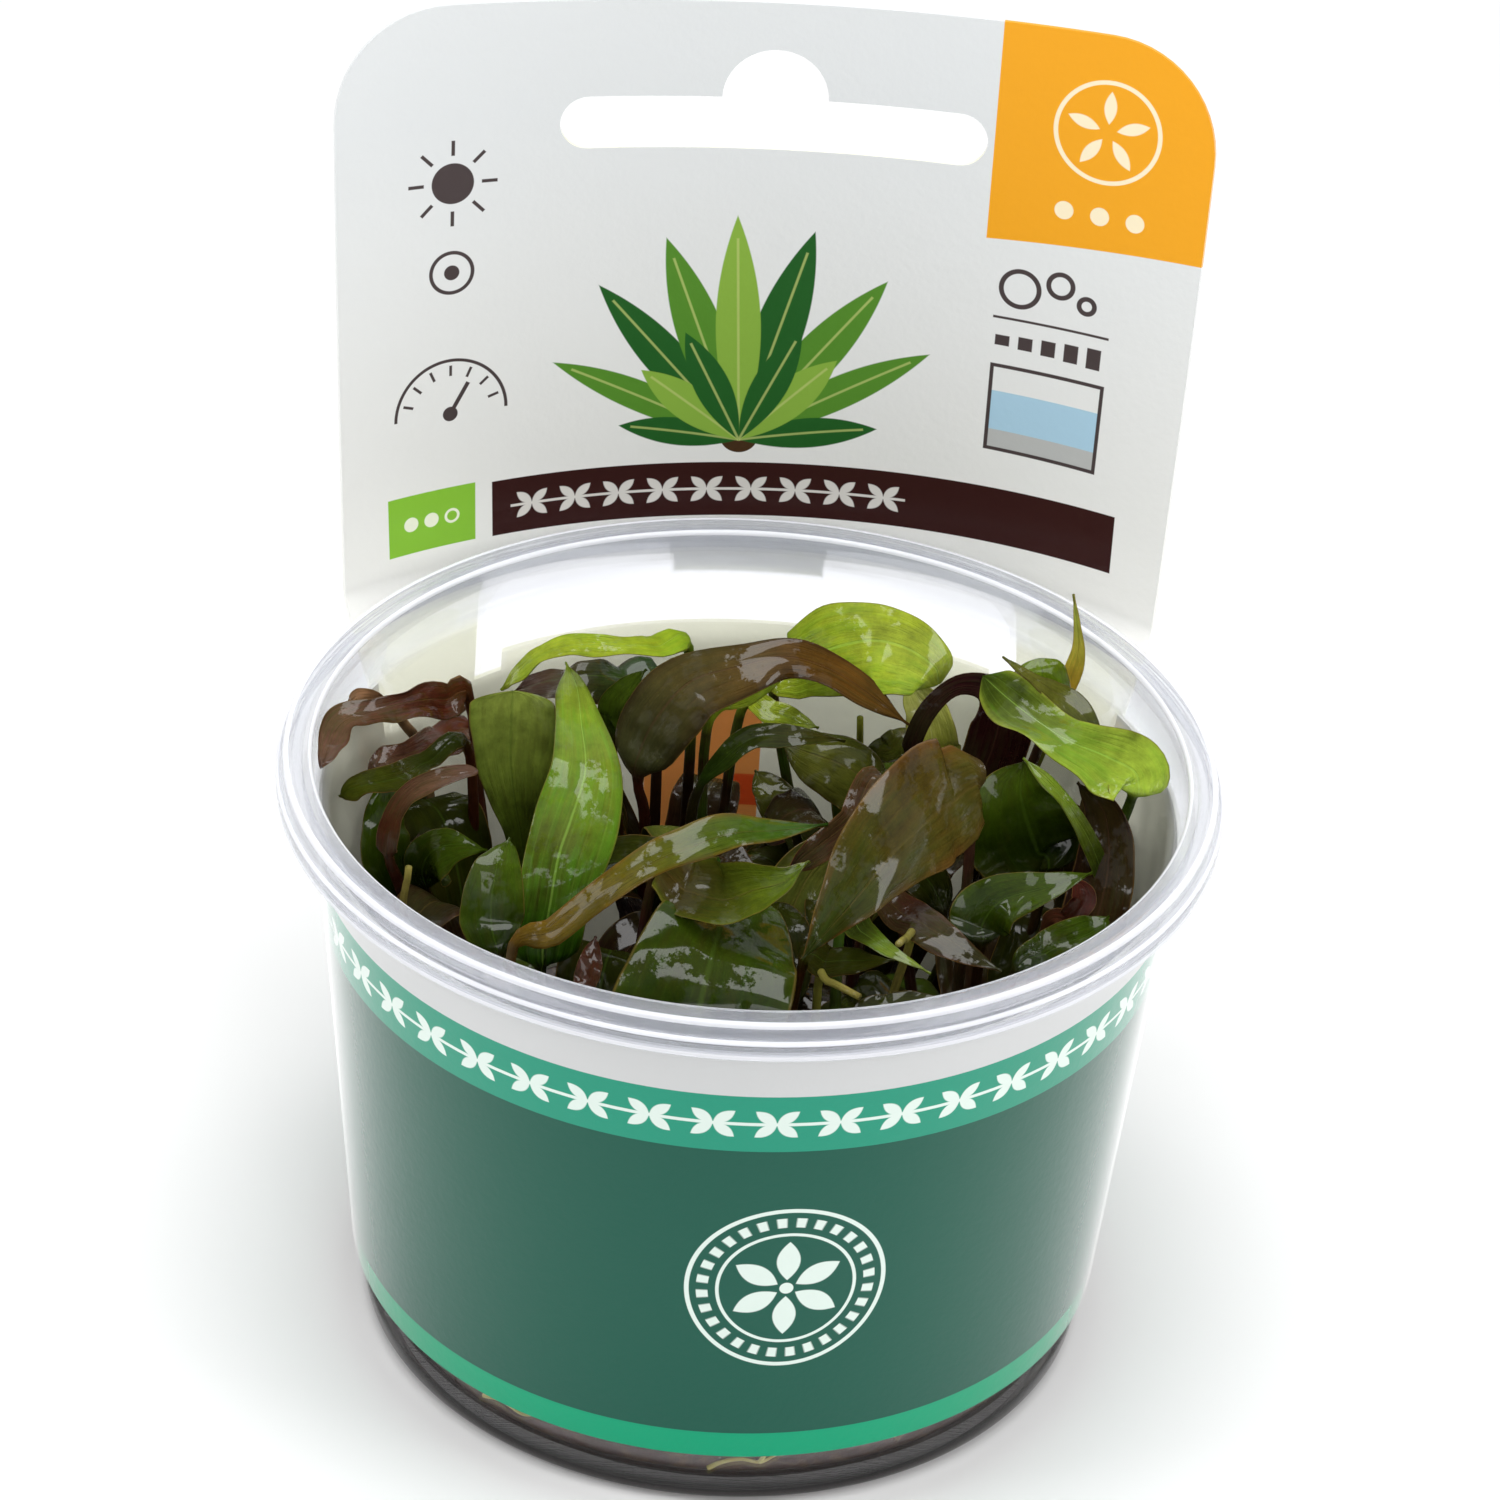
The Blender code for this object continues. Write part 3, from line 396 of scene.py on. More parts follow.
         (2, 4.6, 5.8, 5.6, 4.6, 2.8, 0.3), (2, 4.4, 5.4, 4.8, 3.6, 2, 0.3), 5, 15, 0.3),
    Leaf("right_edge", "right",
         ((32, 2, 40), (30.5, 0.7, 44), (29, -0.3, 48), (27, -0.5, 51.5), (25, 0, 53.7),
          (23, 1.5, 55)), 0, ((0.1, -0.6, 0.8),), "bright",
         (0.8, 1, 0.9, 0.7, 0.6, 0.6, 0), (0.8, 1, 0.9, 0.8, 0.7, 0.6, 0), 15, 0, 0.1),
    Leaf("right_dark", "right",
         ((29, -4.5, 36), (30, -3, 41), (31, 0, 45), (30.5, 2.5, 49), (28, 3.8, 51.3)), 0,
         ((-0.3, -0.75, 0.6),), "purple",
         (2, 3, 3.2, 3, 2.4, 1.4, 0), (1.6, 2.4, 2.8, 2.6, 2, 1.2, 0), 8, 15, 0.2),
    Leaf("hero_folded", "right",
         ((19, 1.5, 50), (17, -1.5, 52.3), (14.5, -6, 53), (11.5, -10, 52), (9, -13, 50),
          (6.5, -15.5, 48), (4.5, -17.5, 46.5)), 0, ((0.6, -0.75, 0.35), (0.3, -0.75, 0.6)),
         "folded", (2, 4.6, 4.6, 3.4, 2, 0.9, 0), (2.6, 5.4, 6, 5.2, 3.6, 1.8, 0), 3, -8, 0.3),
    Leaf("folded_flap", "right",
         ((11.5, 5, 48.5), (8.7, 0.5, 48.5), (5.7, -2.5, 47.5), (3.3, -4, 46)), 0,
         ((0.2, -0.7, 0.7),), "flap", (2, 2.4, 1.8, 1.6, 1.5, 1, 0), (1, 1.2, 1.2, 1.1, 1, 0.7, 0)),
    Leaf("right_front", "right",
         ((20, -7.5, 41), (20, -7.5, 44), (21.5, -7.5, 46.5), (25, -7.5, 48), (29, -6.5, 49)), 0,
         ((0, -0.65, 0.75),), "deep",
         (1.4, 2.6, 3, 2.3, 1.6, 1, 0), (1.4, 2.2, 2.6, 2.4, 1.7, 1, 0), 15, -15, 0.3),
    Leaf("right_curl", "right",
         ((25.5, -4.5, 41), (27.5, -5.5, 43.5), (28.5, -5.3, 45.5), (28, -4.5, 46.8)), 0,
         ((0, -0.75, 0.6),), "red", (0.6, 1, 1.2, 1.2, 0.5), None, 15, 30, 0.1),
    Leaf("right_serrated", "right",
         ((22.5, -11.5, 41), (25.5, -10.5, 43.5), (29, -9.5, 45), (30.5, -8.5, 46)), 0,
         ((0, -0.6, 0.8),), "deep", lance(1.9, 0.45), None, 12, 0, 0.35),
    Leaf("front_broad", "front",
         ((-4.5, -20, 34), (-4, -18, 39), (-3.3, -15.5, 42.2), (-2.5, -11.5, 43.8),
          (-1.5, -7, 44), (-1, -3, 43)), 0, ((0, -0.75, 0.65),), "deep",
         (6, 7.4, 7.2, 6.4, 5.4, 4, 2), (5, 6.8, 7.4, 7.4, 6.8, 5, 2.5), 5, -10, 0.3),
    Leaf("front_shiny", "front",
         ((4.8, -11.3, 41), (7, -12, 42.5), (9.5, -12.3, 43), (12.5, -12, 43)), 0,
         ((0, -0.45, 0.9),), "dark", (0.9, 1.4, 1.5, 1.4, 1.1, 0.6, 0), None, 10, -20, 0.15),
    Leaf("front_pointed", "front",
         ((8, -8.5, 44.3), (9.7, -11.5, 45.3), (12, -14.8, 45.8), (15.3, -17, 45.3)), 0,
         ((0, -0.5, 0.85),), "bright", (1, 1.2, 1.2, 0.9, 0.6, 0.35, 0), None, 15, 0, 0.1),
    Leaf("front_brown", "front",
         ((10.5, -4.5, 42.5), (13.7, -7, 44), (17, -10.5, 44.3), (21.5, -13, 43)), 0,
         ((0, -0.5, 0.85),), "ruddy",
         (0.9, 1.4, 1.9, 1.7, 1.2, 0.7, 0), (0.9, 1.4, 1.8, 2, 1.8, 1.2, 0), 12, -15),
    Leaf("front_dark", "front",
         ((9, -16.5, 39), (12.5, -16.5, 41), (17.5, -15.5, 41.5)), 0, ((0, -0.5, 0.85),), "dark",
         lance(1.6)),
    Leaf("middle_left", "left",
         ((-16, 5.5, 36), (-12.5, 4, 40.5), (-7.5, 2, 42.5), (-3, 0.5, 42)), 0, ((0, -0.4, 0.9),),
         "dark", lance(2.6, 0.45)),
    Leaf("middle_back", "back",
         ((-5, 11.5, 35), (-4, 9.5, 38.5), (-1.5, 6.5, 40), (2, 4, 39)), 0, ((0.1, -0.4, 0.9),),
         "purple", lance(2.4, 0.45)),
    Leaf("middle_right", "right",
         ((18, 6.5, 34), (15.5, 7.5, 39), (12, 9, 41), (8.5, 11, 40)), 0, ((-0.1, -0.4, 0.9),),
         "dark", lance(2.6, 0.45)),
    Leaf("middle_front", "front",
         ((4.5, -7, 33), (4, -3.5, 37), (3, 0, 38.5), (1, 3.5, 37)), 0, ((0, -0.4, 0.9),), "dark",
         lance(2.4, 0.45)),
    Leaf("deep_left", "front_left",
         ((-12.5, -7, 31), (-10.5, -3.5, 35.5), (-8, -0.5, 37), (-5, 2.5, 36)), 0,
         ((0, -0.4, 0.9),), "purple", lance(2.5, 0.45)),
    Leaf("deep_right", "back_right",
         ((10.5, 12, 31), (9, 8.5, 35), (7.5, 5, 36), (6.5, 1.5, 34.5)), 0, ((0, -0.4, 0.9),),
         "dark", lance(2.5, 0.45)),
)

# Small pieces beyond the frame's: cut stubs in front, and leaves deep between the others
FILLERS = (
    Leaf("cut_stub_right", "front", ((13.8, -9, 42), (13.4, -11, 44.5), (12.6, -14.6, 46.5)), 2,
         ((0, -1, 0.5),), "pale", (0,)),
    Leaf("cut_stub_left", "front", ((6.3, -12, 40), (7, -14, 42), (9.6, -16.5, 42.3)), 2,
         ((0, -1, 0.5),), "pale", (0,)),
    Leaf("filler_right", "right", ((29, 6, 30), (30.5, 7.5, 36), (30, 9.5, 41), (28, 11, 45)), 0,
         ((-0.4, -0.7, 0.5),), "purple", lance(3.6)),
    Leaf("filler_back_right", "back_right",
         ((21, 19.5, 30), (22.5, 20.5, 36), (23, 20, 41), (22, 18, 45)), 0,
         ((-0.1, -0.8, 0.5),), "dark", lance(3.6)),
    Leaf("filler_back", "back", ((-8, 22, 28), (-13, 24, 34), (-16, 22.5, 39), (-17, 19, 43)), 0,
         ((0.1, -0.8, 0.5),), "purple", lance(3.2)),
    Leaf("filler_left", "left", ((-25, 8, 28), (-28, 9, 34), (-29, 7, 39), (-28, 4, 43)), 0,
         ((0.5, -0.7, 0.5),), "ruddy", lance(2.8)),
    Leaf("filler_middle", "front", ((3, -2, 26), (3.5, 3, 33), (6, 8, 38), (10, 10, 40)), 0,
         ((0, -0.8, 0.5),), "olive", lance(3.2)),
    Leaf("filler_front", "front", ((9, -14, 28), (14, -16, 33), (18, -17, 36), (21, -16, 37)), 0,
         ((0, -0.6, 0.8),), "dark", lance(2.8)),
    Leaf("filler_front_left", "front_left",
         ((-16, -17, 27), (-19, -20, 32), (-21, -20, 36), (-22, -18, 39)), 0,
         ((0.2, -0.6, 0.8),), "purple", lance(2.8)),
)


def srgb(red, green, blue):
    """A colour as seen, from 0 to 255, as the linear value that shaders use."""
    return tuple((c / 255 / 12.92) if c <= 10 else ((c / 255 + 0.055) / 1.055) ** 2.4
                 for c in (red, green, blue))


# The colours of a look, by material slot: those of a blade near its stalk, at its tip, along
# its margins and underneath, and of its stalk
TONES = {
    "leaf_bright": {
        "lime": ((148, 164, 36), (160, 176, 52), (150, 164, 46), (150, 178, 60), (72, 48, 28)),
        # The bright look's near-black colour by the stalk is partly the leaf's own dark foot and
        # partly painted shade there
        "bright": ((16, 26, 2), (128, 148, 42), (74, 92, 18), (120, 160, 60), (90, 100, 40)),
        "wavy": ((164, 190, 62), (62, 78, 16), (150, 168, 56), (120, 150, 50), (60, 80, 20)),
        "tip": ((214, 168, 54), (196, 206, 90), (190, 160, 60), (150, 150, 60), (110, 90, 40)),
    },
    "leaf_green": {
        "green": ((56, 78, 14), (92, 116, 28), (66, 80, 20), (70, 90, 30), (80, 50, 25)),
        "deep": ((30, 45, 3), (64, 86, 10), (60, 76, 12), (60, 80, 25), (65, 40, 20)),
        "dark": ((40, 48, 5), (64, 70, 10), (46, 44, 10), (56, 58, 22), (80, 40, 22)),
        "round": ((70, 104, 10), (104, 128, 20), (84, 96, 22), (60, 70, 35), (60, 35, 25)),
        "ridged": ((40, 70, 28), (70, 40, 28), (60, 45, 25), (75, 80, 45), (70, 45, 30)),
        "strap": ((42, 62, 12), (56, 54, 16), (56, 70, 20), (60, 75, 40), (45, 40, 22)),
        "sage": ((98, 124, 28), (142, 158, 66), (98, 116, 38), (80, 100, 40), (80, 50, 30)),
    },
    "leaf_olive": {
        "diagonal": ((112, 88, 22), (56, 92, 20), (108, 76, 24), (85, 70, 35), (100, 70, 35)),
        "boat": ((66, 50, 18), (96, 118, 22), (96, 104, 24), (62, 100, 28), (70, 35, 30)),
        "folded": ((88, 72, 24), (40, 46, 5), (100, 64, 28), (70, 40, 35), (80, 50, 38)),
        "flap": ((80, 52, 30), (52, 34, 22), (85, 50, 32), (70, 40, 30), (70, 40, 30)),
        "olive": ((82, 86, 24), (112, 114, 42), (75, 70, 24), (80, 85, 35), (80, 60, 35)),
        "brown": ((82, 30, 14), (104, 76, 60), (66, 34, 24), (115, 85, 70), (80, 40, 28)),
        "ruddy": ((72, 34, 26), (62, 62, 32), (80, 45, 28), (90, 55, 45), (70, 30, 24)),
        "tan": ((125, 85, 55), (150, 112, 80), (105, 75, 48), (150, 115, 85), (150, 115, 80)),
    },
    "leaf_purple": {
        "arch": ((64, 66, 36), (98, 62, 14), (52, 36, 20), (90, 140, 35), (84, 26, 22)),
        "purple": ((46, 22, 10), (52, 42, 14), (45, 22, 18), (65, 38, 34), (76, 22, 20)),
        "deep_purple": ((34, 8, 10), (42, 16, 14), (32, 8, 9), (60, 22, 22), (30, 6, 8)),
        "red": ((90, 36, 26), (75, 34, 26), (75, 28, 20), (110, 60, 46), (75, 28, 20)),
    },
    "leaf_yellow": {
        "yellow": ((184, 190, 56), (222, 222, 130), (200, 200, 100), (185, 190, 80), (160, 160, 60)),
        "pale": ((190, 165, 100), (190, 165, 100), (190, 165, 100), (190, 165, 100), (165, 150, 80)),
    },
}
Look = namedtuple("Look", "slot blade tip margin under stalk")
LOOKS = {name: Look(slot, *(srgb(*tone) for tone in tones))
         for slot, looks in TONES.items() for name, tones in looks.items()}

# The leaf materials: the colour of the veins and how far they show, the blush, the roughness
LEAF_FINISHES = {
    "leaf_green": (srgb(70, 95, 30), 0.3, srgb(48, 40, 12), 0.3),
    "leaf_bright": (srgb(150, 190, 80), 0.3, srgb(70, 125, 25), 0.35),
    "leaf_yellow": (srgb(205, 205, 125), 0.4, srgb(130, 140, 40), 0.35),
    "leaf_purple": (srgb(80, 52, 40), 0.3, srgb(45, 48, 24), 0.3),
    "leaf_olive": (srgb(95, 80, 40), 0.3, srgb(42, 60, 20), 0.3),
}

# Camera: fitted to the photograph, in metres and degrees
CAMERA_PLACE = (-0.01357, -0.38952, 0.30481)
CAMERA_YAW = 1.969
CAMERA_PITCH = 32.595
CAMERA_ROLL = 3.494
CAMERA_LENS = 131.902
CAMERA_SENSOR = 36.0
CAMERA_NEAR = 0.01

# Floor and soft boxes: place and size in metres, all lights aimed at the middle of the piece
FLOOR_SIZE = 4.0
LIGHT_AIM = (0, 0, 0.045)
LIGHTS = (
    ("top_light", (0.0, -0.02, 0.78), 0.56),
    ("left_light", (-0.62, -0.12, 0.42), 0.3),
    ("right_light", (0.6, -0.2, 0.4), 0.3),
    ("front_light", (0.12, -0.75, 0.5), 0.4),
)


def smooth_point(points, place):
    """The point at a given place, counted in points, on a Catmull-Rom curve through them."""
    ends = [2 * points[0] - points[1]] + points + [2 * points[-1] - points[-2]]
    i = min(int(place), len(points) - 2)
    t = place - i
    a, b, c, d = ends[i:i + 4]
    return 0.5 * (2 * b + (c - a) * t + (2 * a - 5 * b + 4 * c - d) * t ** 2
                  + (3 * b - a - 3 * c + d) * t ** 3)


def ease(share):
    """A smooth step from 0 to 1."""
    share = min(max(share, 0.0), 1.0)
    return share * share * (3 - 2 * share)


def wall_radius(z):
    """Outer radius of the cup's tapered wall at height z."""
    return WALL_RADIUS_BASE + (WALL_RADIUS_TOP - WALL_RADIUS_BASE) * z / SHOULDER_Z


def arc(centre_x, centre_z, radius, start, end, steps):
    """Points of an arc; the angles are in degrees."""
    angles = (radians(start + (end - start) * i / steps) for i in range(steps + 1))
    return [(centre_x + radius * cos(a), centre_z + radius * sin(a)) for a in angles]


def rounded(corners, steps=5):
    """An outline from corners (x, z, radius), with each corner drawn as a curve."""
    points = []
    for i, (x, z, radius) in enumerate(corners):
        if radius == 0:
            points.append((x, z))
            continue
        here = Vector((x, z))
        before = Vector(corners[i - 1][:2]) - here
        after = Vector(corners[(i + 1) % len(corners)][:2]) - here
        start = here + before.normalized() * min(radius, before.length / 2)
        end = here + after.normalized() * min(radius, after.length / 2)
        for k in range(steps + 1):
            t = k / steps
            points.append(tuple(start * (1 - t) ** 2 + here * 2 * t * (1 - t) + end * t * t))
    return points


def begin(name):
    """Names the primitive just added and hands it over."""
    piece = bpy.context.object
    piece.name = name
    piece.data.name = name
    return piece


def edit(*uses):
    """Uses mesh tools in edit mode, each with its settings and on the whole mesh."""
    bpy.ops.object.mode_set(mode="EDIT")
    for tool, settings in uses:
        bpy.ops.mesh.select_all(action="SELECT")
        tool(**settings)
    bpy.ops.object.mode_set(mode="OBJECT")


def clear_selection():
    """Nothing is selected, so that what is added next is edited alone."""
    bpy.ops.object.select_all(action="DESELECT")


def turned(name, outline, steps):
    """A piece turned about the upright axis from the closed outline of its section."""
    clear_selection()
    bpy.ops.mesh.primitive_circle_add(vertices=len(outline), fill_type="NOTHING")
    piece = begin(name)
    for vertex, (r, z) in zip(piece.data.vertices, outline):
        vertex.co = (r * MM, 0, z * MM)
    full_turn = {"steps": steps, "angle": 2 * pi, "center": (0, 0, 0), "axis": (0, 0, 1)}
    edit((bpy.ops.mesh.spin, full_turn),
         (bpy.ops.mesh.remove_doubles, {"threshold": SEW * MM}),
         (bpy.ops.mesh.delete_loose, {"use_verts": True, "use_edges": True, "use_faces": False}),
         (bpy.ops.mesh.normals_make_consistent, {"inside": False}))
    bpy.ops.object.shade_smooth_by_angle(angle=radians(SMOOTH_ANGLE))
    return piece


def grid_piece(name, columns, rows, place):
    """A grid primitive with its corners put where place(column, row) says, in metres."""
    clear_selection()
    bpy.ops.mesh.primitive_grid_add(x_subdivisions=columns, y_subdivisions=rows, size=2)
    piece = begin(name)
    count = len(piece.data.vertices)
    flat = np.empty(count * 3)
    piece.data.vertices.foreach_get("co", flat)
    flat = flat.reshape(-1, 3)
    column = np.rint((flat[:, 0] + 1) / 2 * columns).astype(int)
    row = np.rint((flat[:, 1] + 1) / 2 * rows).astype(int)
    points = np.array([place(i, j) for i, j in zip(column, row)])
    piece.data.vertices.foreach_set("co", points.ravel())
    return piece, column, row


def paint(piece, name, values, kind="FLOAT", field="value"):
    """Stores a value for each corner point, for the material to read."""
    attribute = piece.data.attributes.new(name, kind, "POINT")
    attribute.data.foreach_set(field, np.asarray(values, dtype=np.float32).ravel())


def sew():
    """Merges the last grid's seam, closes its ends and turns its faces outwards."""
    edit((bpy.ops.mesh.remove_doubles, {"threshold": SEAM_SEW * MM}),
         (bpy.ops.mesh.fill_holes, {"sides": 0}),
         (bpy.ops.mesh.normals_make_consistent, {"inside": False}))
    bpy.ops.object.shade_smooth()


def place_piece(piece, material, slot, *nodes):
    """Gives a finished piece its material and body, and hides the nodes that it stands for; its slot
    is not used.
    """
    piece.data.materials.clear()
    piece.data.materials.append(material)
    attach(piece, BODY)
    if nodes:
        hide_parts(*nodes)


class Value:
    """A shader value; Python's operators on it add Math nodes."""

    def __init__(self, finish, socket):
        self.finish = finish
        self.socket = socket

    def __add__(self, other):
        return self.finish.math("ADD", self, other)

    def __sub__(self, other):
        return self.finish.math("SUBTRACT", self, other)

    def __mul__(self, other):
        return self.finish.math("MULTIPLY", self, other)

    def __truediv__(self, other):
        return self.finish.math("DIVIDE", self, other)

    def __rsub__(self, other):
        return self.finish.math("SUBTRACT", other, self)

    def __mod__(self, other):
        return self.finish.math("FLOORED_MODULO", self, other)

    def __abs__(self):
        return self.finish.math("ABSOLUTE", self)

    __radd__ = __add__
    __rmul__ = __mul__


class Finish:
    """A material in the making: its nodes, and the shader that they feed."""

    def __init__(self, name, **constants):
        self.material = bpy.data.materials.new(name)
        self.material.use_nodes = True
        self.tree = self.material.node_tree
        self.shader = self.tree.nodes["Principled BSDF"]
        for socket, value in constants.items():
            self.plug(socket.replace("_", " ").title().replace("Ior", "IOR"), value)

    def feed(self, socket, value):
        """Links a value to a socket, or sets a constant on it."""
        if isinstance(value, Value):
            self.tree.links.new(value.socket, socket)
        elif isinstance(value, tuple) and len(value) == 3 and len(socket.default_value) == 4:
            socket.default_value = (*value, 1.0)
        else:
            socket.default_value = value

    def plug(self, socket, value):
        self.feed(self.shader.inputs[socket], value)

    def node(self, kind, settings=None, inputs=None, output=0):
        """Adds a node: its settings first, then its sockets' values or links."""
        made = self.tree.nodes.new(kind)
        for key, value in (settings or {}).items():
            setattr(made, key, value)
        for key, value in (inputs or {}).items():
            self.feed(made.inputs[key], value)
        return Value(self, made.outputs[output])

    def math(self, operation, *values, clamp=False):
        return self.node("ShaderNodeMath", {"operation": operation, "use_clamp": clamp},
                         dict(enumerate(values)))

    def least(self, a, b):
        return self.math("MINIMUM", a, b)

    def most(self, highest, *others):
        """The highest of several values."""
        for other in others:
            highest = self.math("MAXIMUM", highest, other)
        return highest

    def inside(self, depth, soft=0.06):
        """1 where a depth is over zero and 0 where it is under, with a soft edge."""
        return self.math("ADD", depth * (1 / soft), 0.5, clamp=True)

    def mix(self, share, first, second):
        return self.node("ShaderNodeMix", {"data_type": "RGBA"}, {0: share, 6: first, 7: second}, 2)

    def place(self):
        return self.node("ShaderNodeTexCoord", output="Object")

    def noise(self, scale, detail=2.0, rough=0.5, vector=None):
        return self.node("ShaderNodeTexNoise", None,
                         {"Vector": vector or self.place(), "Scale": scale, "Detail": detail,
                          "Roughness": rough})

    def attribute(self, name, output="Fac"):
        return self.node("ShaderNodeAttribute", {"attribute_name": name}, None, output)

    def join(self, x, y, z):
        return self.node("ShaderNodeCombineXYZ", None, {0: x, 1: y, 2: z})

    def split(self, vector):
        parts = self.node("ShaderNodeSeparateXYZ", None, {0: vector}).socket.node.outputs
        return [Value(self, part) for part in parts]

    def blend(self, share, second):
        """Lets a second shader show by a share of 0 to 1."""
        first = Value(self, self.shader.outputs["BSDF"])
        mixed = self.node("ShaderNodeMixShader", None, {0: share, 1: first, 2: second})
        self.tree.links.new(mixed.socket, self.tree.nodes["Material Output"].inputs["Surface"])

    def bump(self, height, relief):
        """Relief that only shading shows; its depth is in millimetres."""
        self.plug("Normal", self.node("ShaderNodeBump", None,
                                      {"Height": height, "Distance": relief * MM}))


def plastic_finish(settings):
    """Clear moulded plastic: smooth walls, a hazier rim with bright lines painted on its lip and
    skirt as highlights, and a foot that is dark with the gel.
    """
    finish = Finish("clear_plastic", transmission_weight=1.0, ior=1.4)
    x, y, z = finish.split(finish.place())
    rim = finish.inside(z - SHOULDER_Z * MM, RIM_SOFT * MM)
    foot = finish.inside(FOOT_Z * MM - z, FOOT_SOFT * MM)
    clear = finish.mix(rim, tuple(settings.wall_tint), tuple(settings.rim_tint))
    finish.plug("Base Color", finish.mix(foot, clear, tuple(settings.gel_dark)))
    finish.plug("Roughness", finish.noise(60.0, 2.0) * 0.03 + rim * 0.09 + 0.012)
    finish.plug("Alpha", rim * RIM_COVER + foot * FOOT_COVER + WALL_COVER)
    # Painted highlights: bright milk-white lines along the lip's inner rim and in bands round the
    # lip and skirt, where the moulding catches the light
    radius = finish.math("SQRT", x * x + y * y) / MM
    height = z / MM
    painted_highlight_lines = finish.inside(LIP_INNER_RADIUS + 0.35 - radius, PAINTED_HIGHLIGHT_SOFT)
    painted_highlight_lines = painted_highlight_lines * finish.inside(height - (CUP_HEIGHT - 0.6), PAINTED_HIGHLIGHT_SOFT)
    outer = finish.inside(radius - (LIP_OUTER_RADIUS - 0.5), PAINTED_HIGHLIGHT_SOFT)
    for low, high in PAINTED_HIGHLIGHT_BANDS:
        band = finish.inside(height - low, 0.06) * finish.inside(high - height, 0.06)
        painted_highlight_lines = finish.most(painted_highlight_lines, band * outer)
    tone = finish.mix(painted_highlight_lines, srgb(220, 223, 236), srgb(242, 243, 249))
    # The milk-white layer: even frost over the rim, and at full strength the painted highlight lines
    frost_and_painted_highlights = finish.node("ShaderNodeBsdfPrincipled", None, {"Base Color": tone, "Roughness": 0.2})
    finish.blend(rim * RIM_MILK + painted_highlight_lines * PAINTED_HIGHLIGHT_SHARE, frost_and_painted_highlights)
    return finish.material


def gel_finish(settings):
    """Set gel: dark and moist, clouded, with paler threads of root in it."""
    finish = Finish("set_gel", coat_weight=0.6, coat_roughness=0.08, ior=1.36)
    cloud = finish.noise(160.0, 4.0)
    threads = finish.noise(420.0, 5.0, 0.65)
    thread = finish.inside(0.035 - abs(threads - 0.5), 0.03) * finish.inside(cloud - 0.45, 0.1)
    dark = finish.mix(cloud, tuple(settings.gel_dark), tuple(settings.gel_light))
    finish.plug("Base Color", finish.mix(thread * 0.35, dark, srgb(120, 100, 70)))
    finish.plug("Roughness", cloud * 0.25 + 0.2)
    finish.bump(cloud + threads * 0.3, 0.6)
    return finish.material


def leaf_finish(name, vein, vein_share, blush, roughness):
    """A wet blade: its painted colour with streaks, a blush, veins, a pale edge and a film, darkened
    low in the cup by painted shade.
    """
    finish = Finish(name, coat_roughness=0.07, specular_ior_level=0.03, ior=1.4)
    side = finish.attribute("across")
    across = abs(side)
    along = finish.attribute("along")
    blade = finish.inside(along - 0.01, 0.02)
    lengthwise = finish.join(side * 4.0, along * 2.5, finish.attribute("lower"))
    streaks = finish.noise(1.6, 4.0, 0.6, lengthwise)
    mottle = finish.noise(620.0, 4.0, 0.65)
    cloud = finish.noise(130.0, 3.0)
    # Painted shade: the colour darkens under a height, as if in the shade deep in the foliage; the
    # rest of this factor is the leaf's own random mottle
    height = finish.split(finish.place())[2]
    depth = finish.inside(SHADE_Z * MM - height, SHADE_SOFT * MM)
    shade = (streaks * 0.3 + mottle + cloud * 1.2 - 0.42) * (1.0 - depth * SHADE_SHARE)
    tone = finish.node("ShaderNodeVectorMath", {"operation": "SCALE"},
                       {0: finish.attribute("blade_color", "Color"), "Scale": shade})
    tone = finish.mix(finish.inside(cloud * 0.6 + streaks * 0.4 - 0.54, 0.16) * 0.5, tone, blush)
    midrib = finish.inside(0.035 - across - along * 0.01, 0.03)
    arches = finish.inside(0.05 - abs((across * 3.2 + along * 0.3) % 1.0 - 0.5), 0.08)
    veins = finish.most(midrib, arches * 0.2) * blade
    tone = finish.mix(veins * vein_share, tone, vein)
    edge = finish.inside(across - 0.968, 0.02) * blade
    finish.plug("Base Color", finish.mix(edge * 0.35, tone, srgb(130, 100, 50)))
    finish.plug("Roughness", mottle * 0.15 + streaks * 0.15 + roughness)
    ragged = finish.noise(1300.0, 4.0, 0.7)
    film = finish.inside(finish.noise(170.0, 2.0) + ragged * 0.5 - FILM_FROM, FILM_SOFT)
    finish.plug("Coat Weight", film * FILM_COAT + DRY_COAT)
    ripple = finish.noise(260.0, 3.0, 0.55) * 0.6 + ragged * 0.2
    finish.bump(streaks * 0.6 + ripple - veins * 0.12, 0.35)
    return finish.material


def crown_finish():
    """A rhizome stub: brown, ringed with old leaf scars."""
    finish = Finish("rhizome", ior=1.4)
    height = finish.split(finish.place())[2]
    grain = finish.noise(700.0, 4.0, 0.6)
    scars = finish.inside(0.18 - abs((height * 1400.0 + grain) % 1.0 - 0.5), 0.2)
    colour = finish.mix(grain, srgb(70, 45, 25), srgb(125, 105, 60))
    finish.plug("Base Color", finish.mix(scars * 0.6, colour, srgb(45, 25, 18)))
    finish.plug("Roughness", grain * 0.3 + 0.35)
    finish.bump(grain - scars * 0.5, 0.3)
    return finish.material


def root_finish():
    """Fine young roots, pale and slightly see-through."""
    finish = Finish("young_root", subsurface_weight=0.3, subsurface_scale=0.0005, ior=1.4)
    grain = finish.noise(500.0, 3.0)
    finish.plug("Base Color", finish.mix(grain, srgb(150, 140, 70), srgb(205, 200, 140)))
    finish.plug("Roughness", grain * 0.2 + 0.3)
    finish.bump(grain, 0.1)
    return finish.material


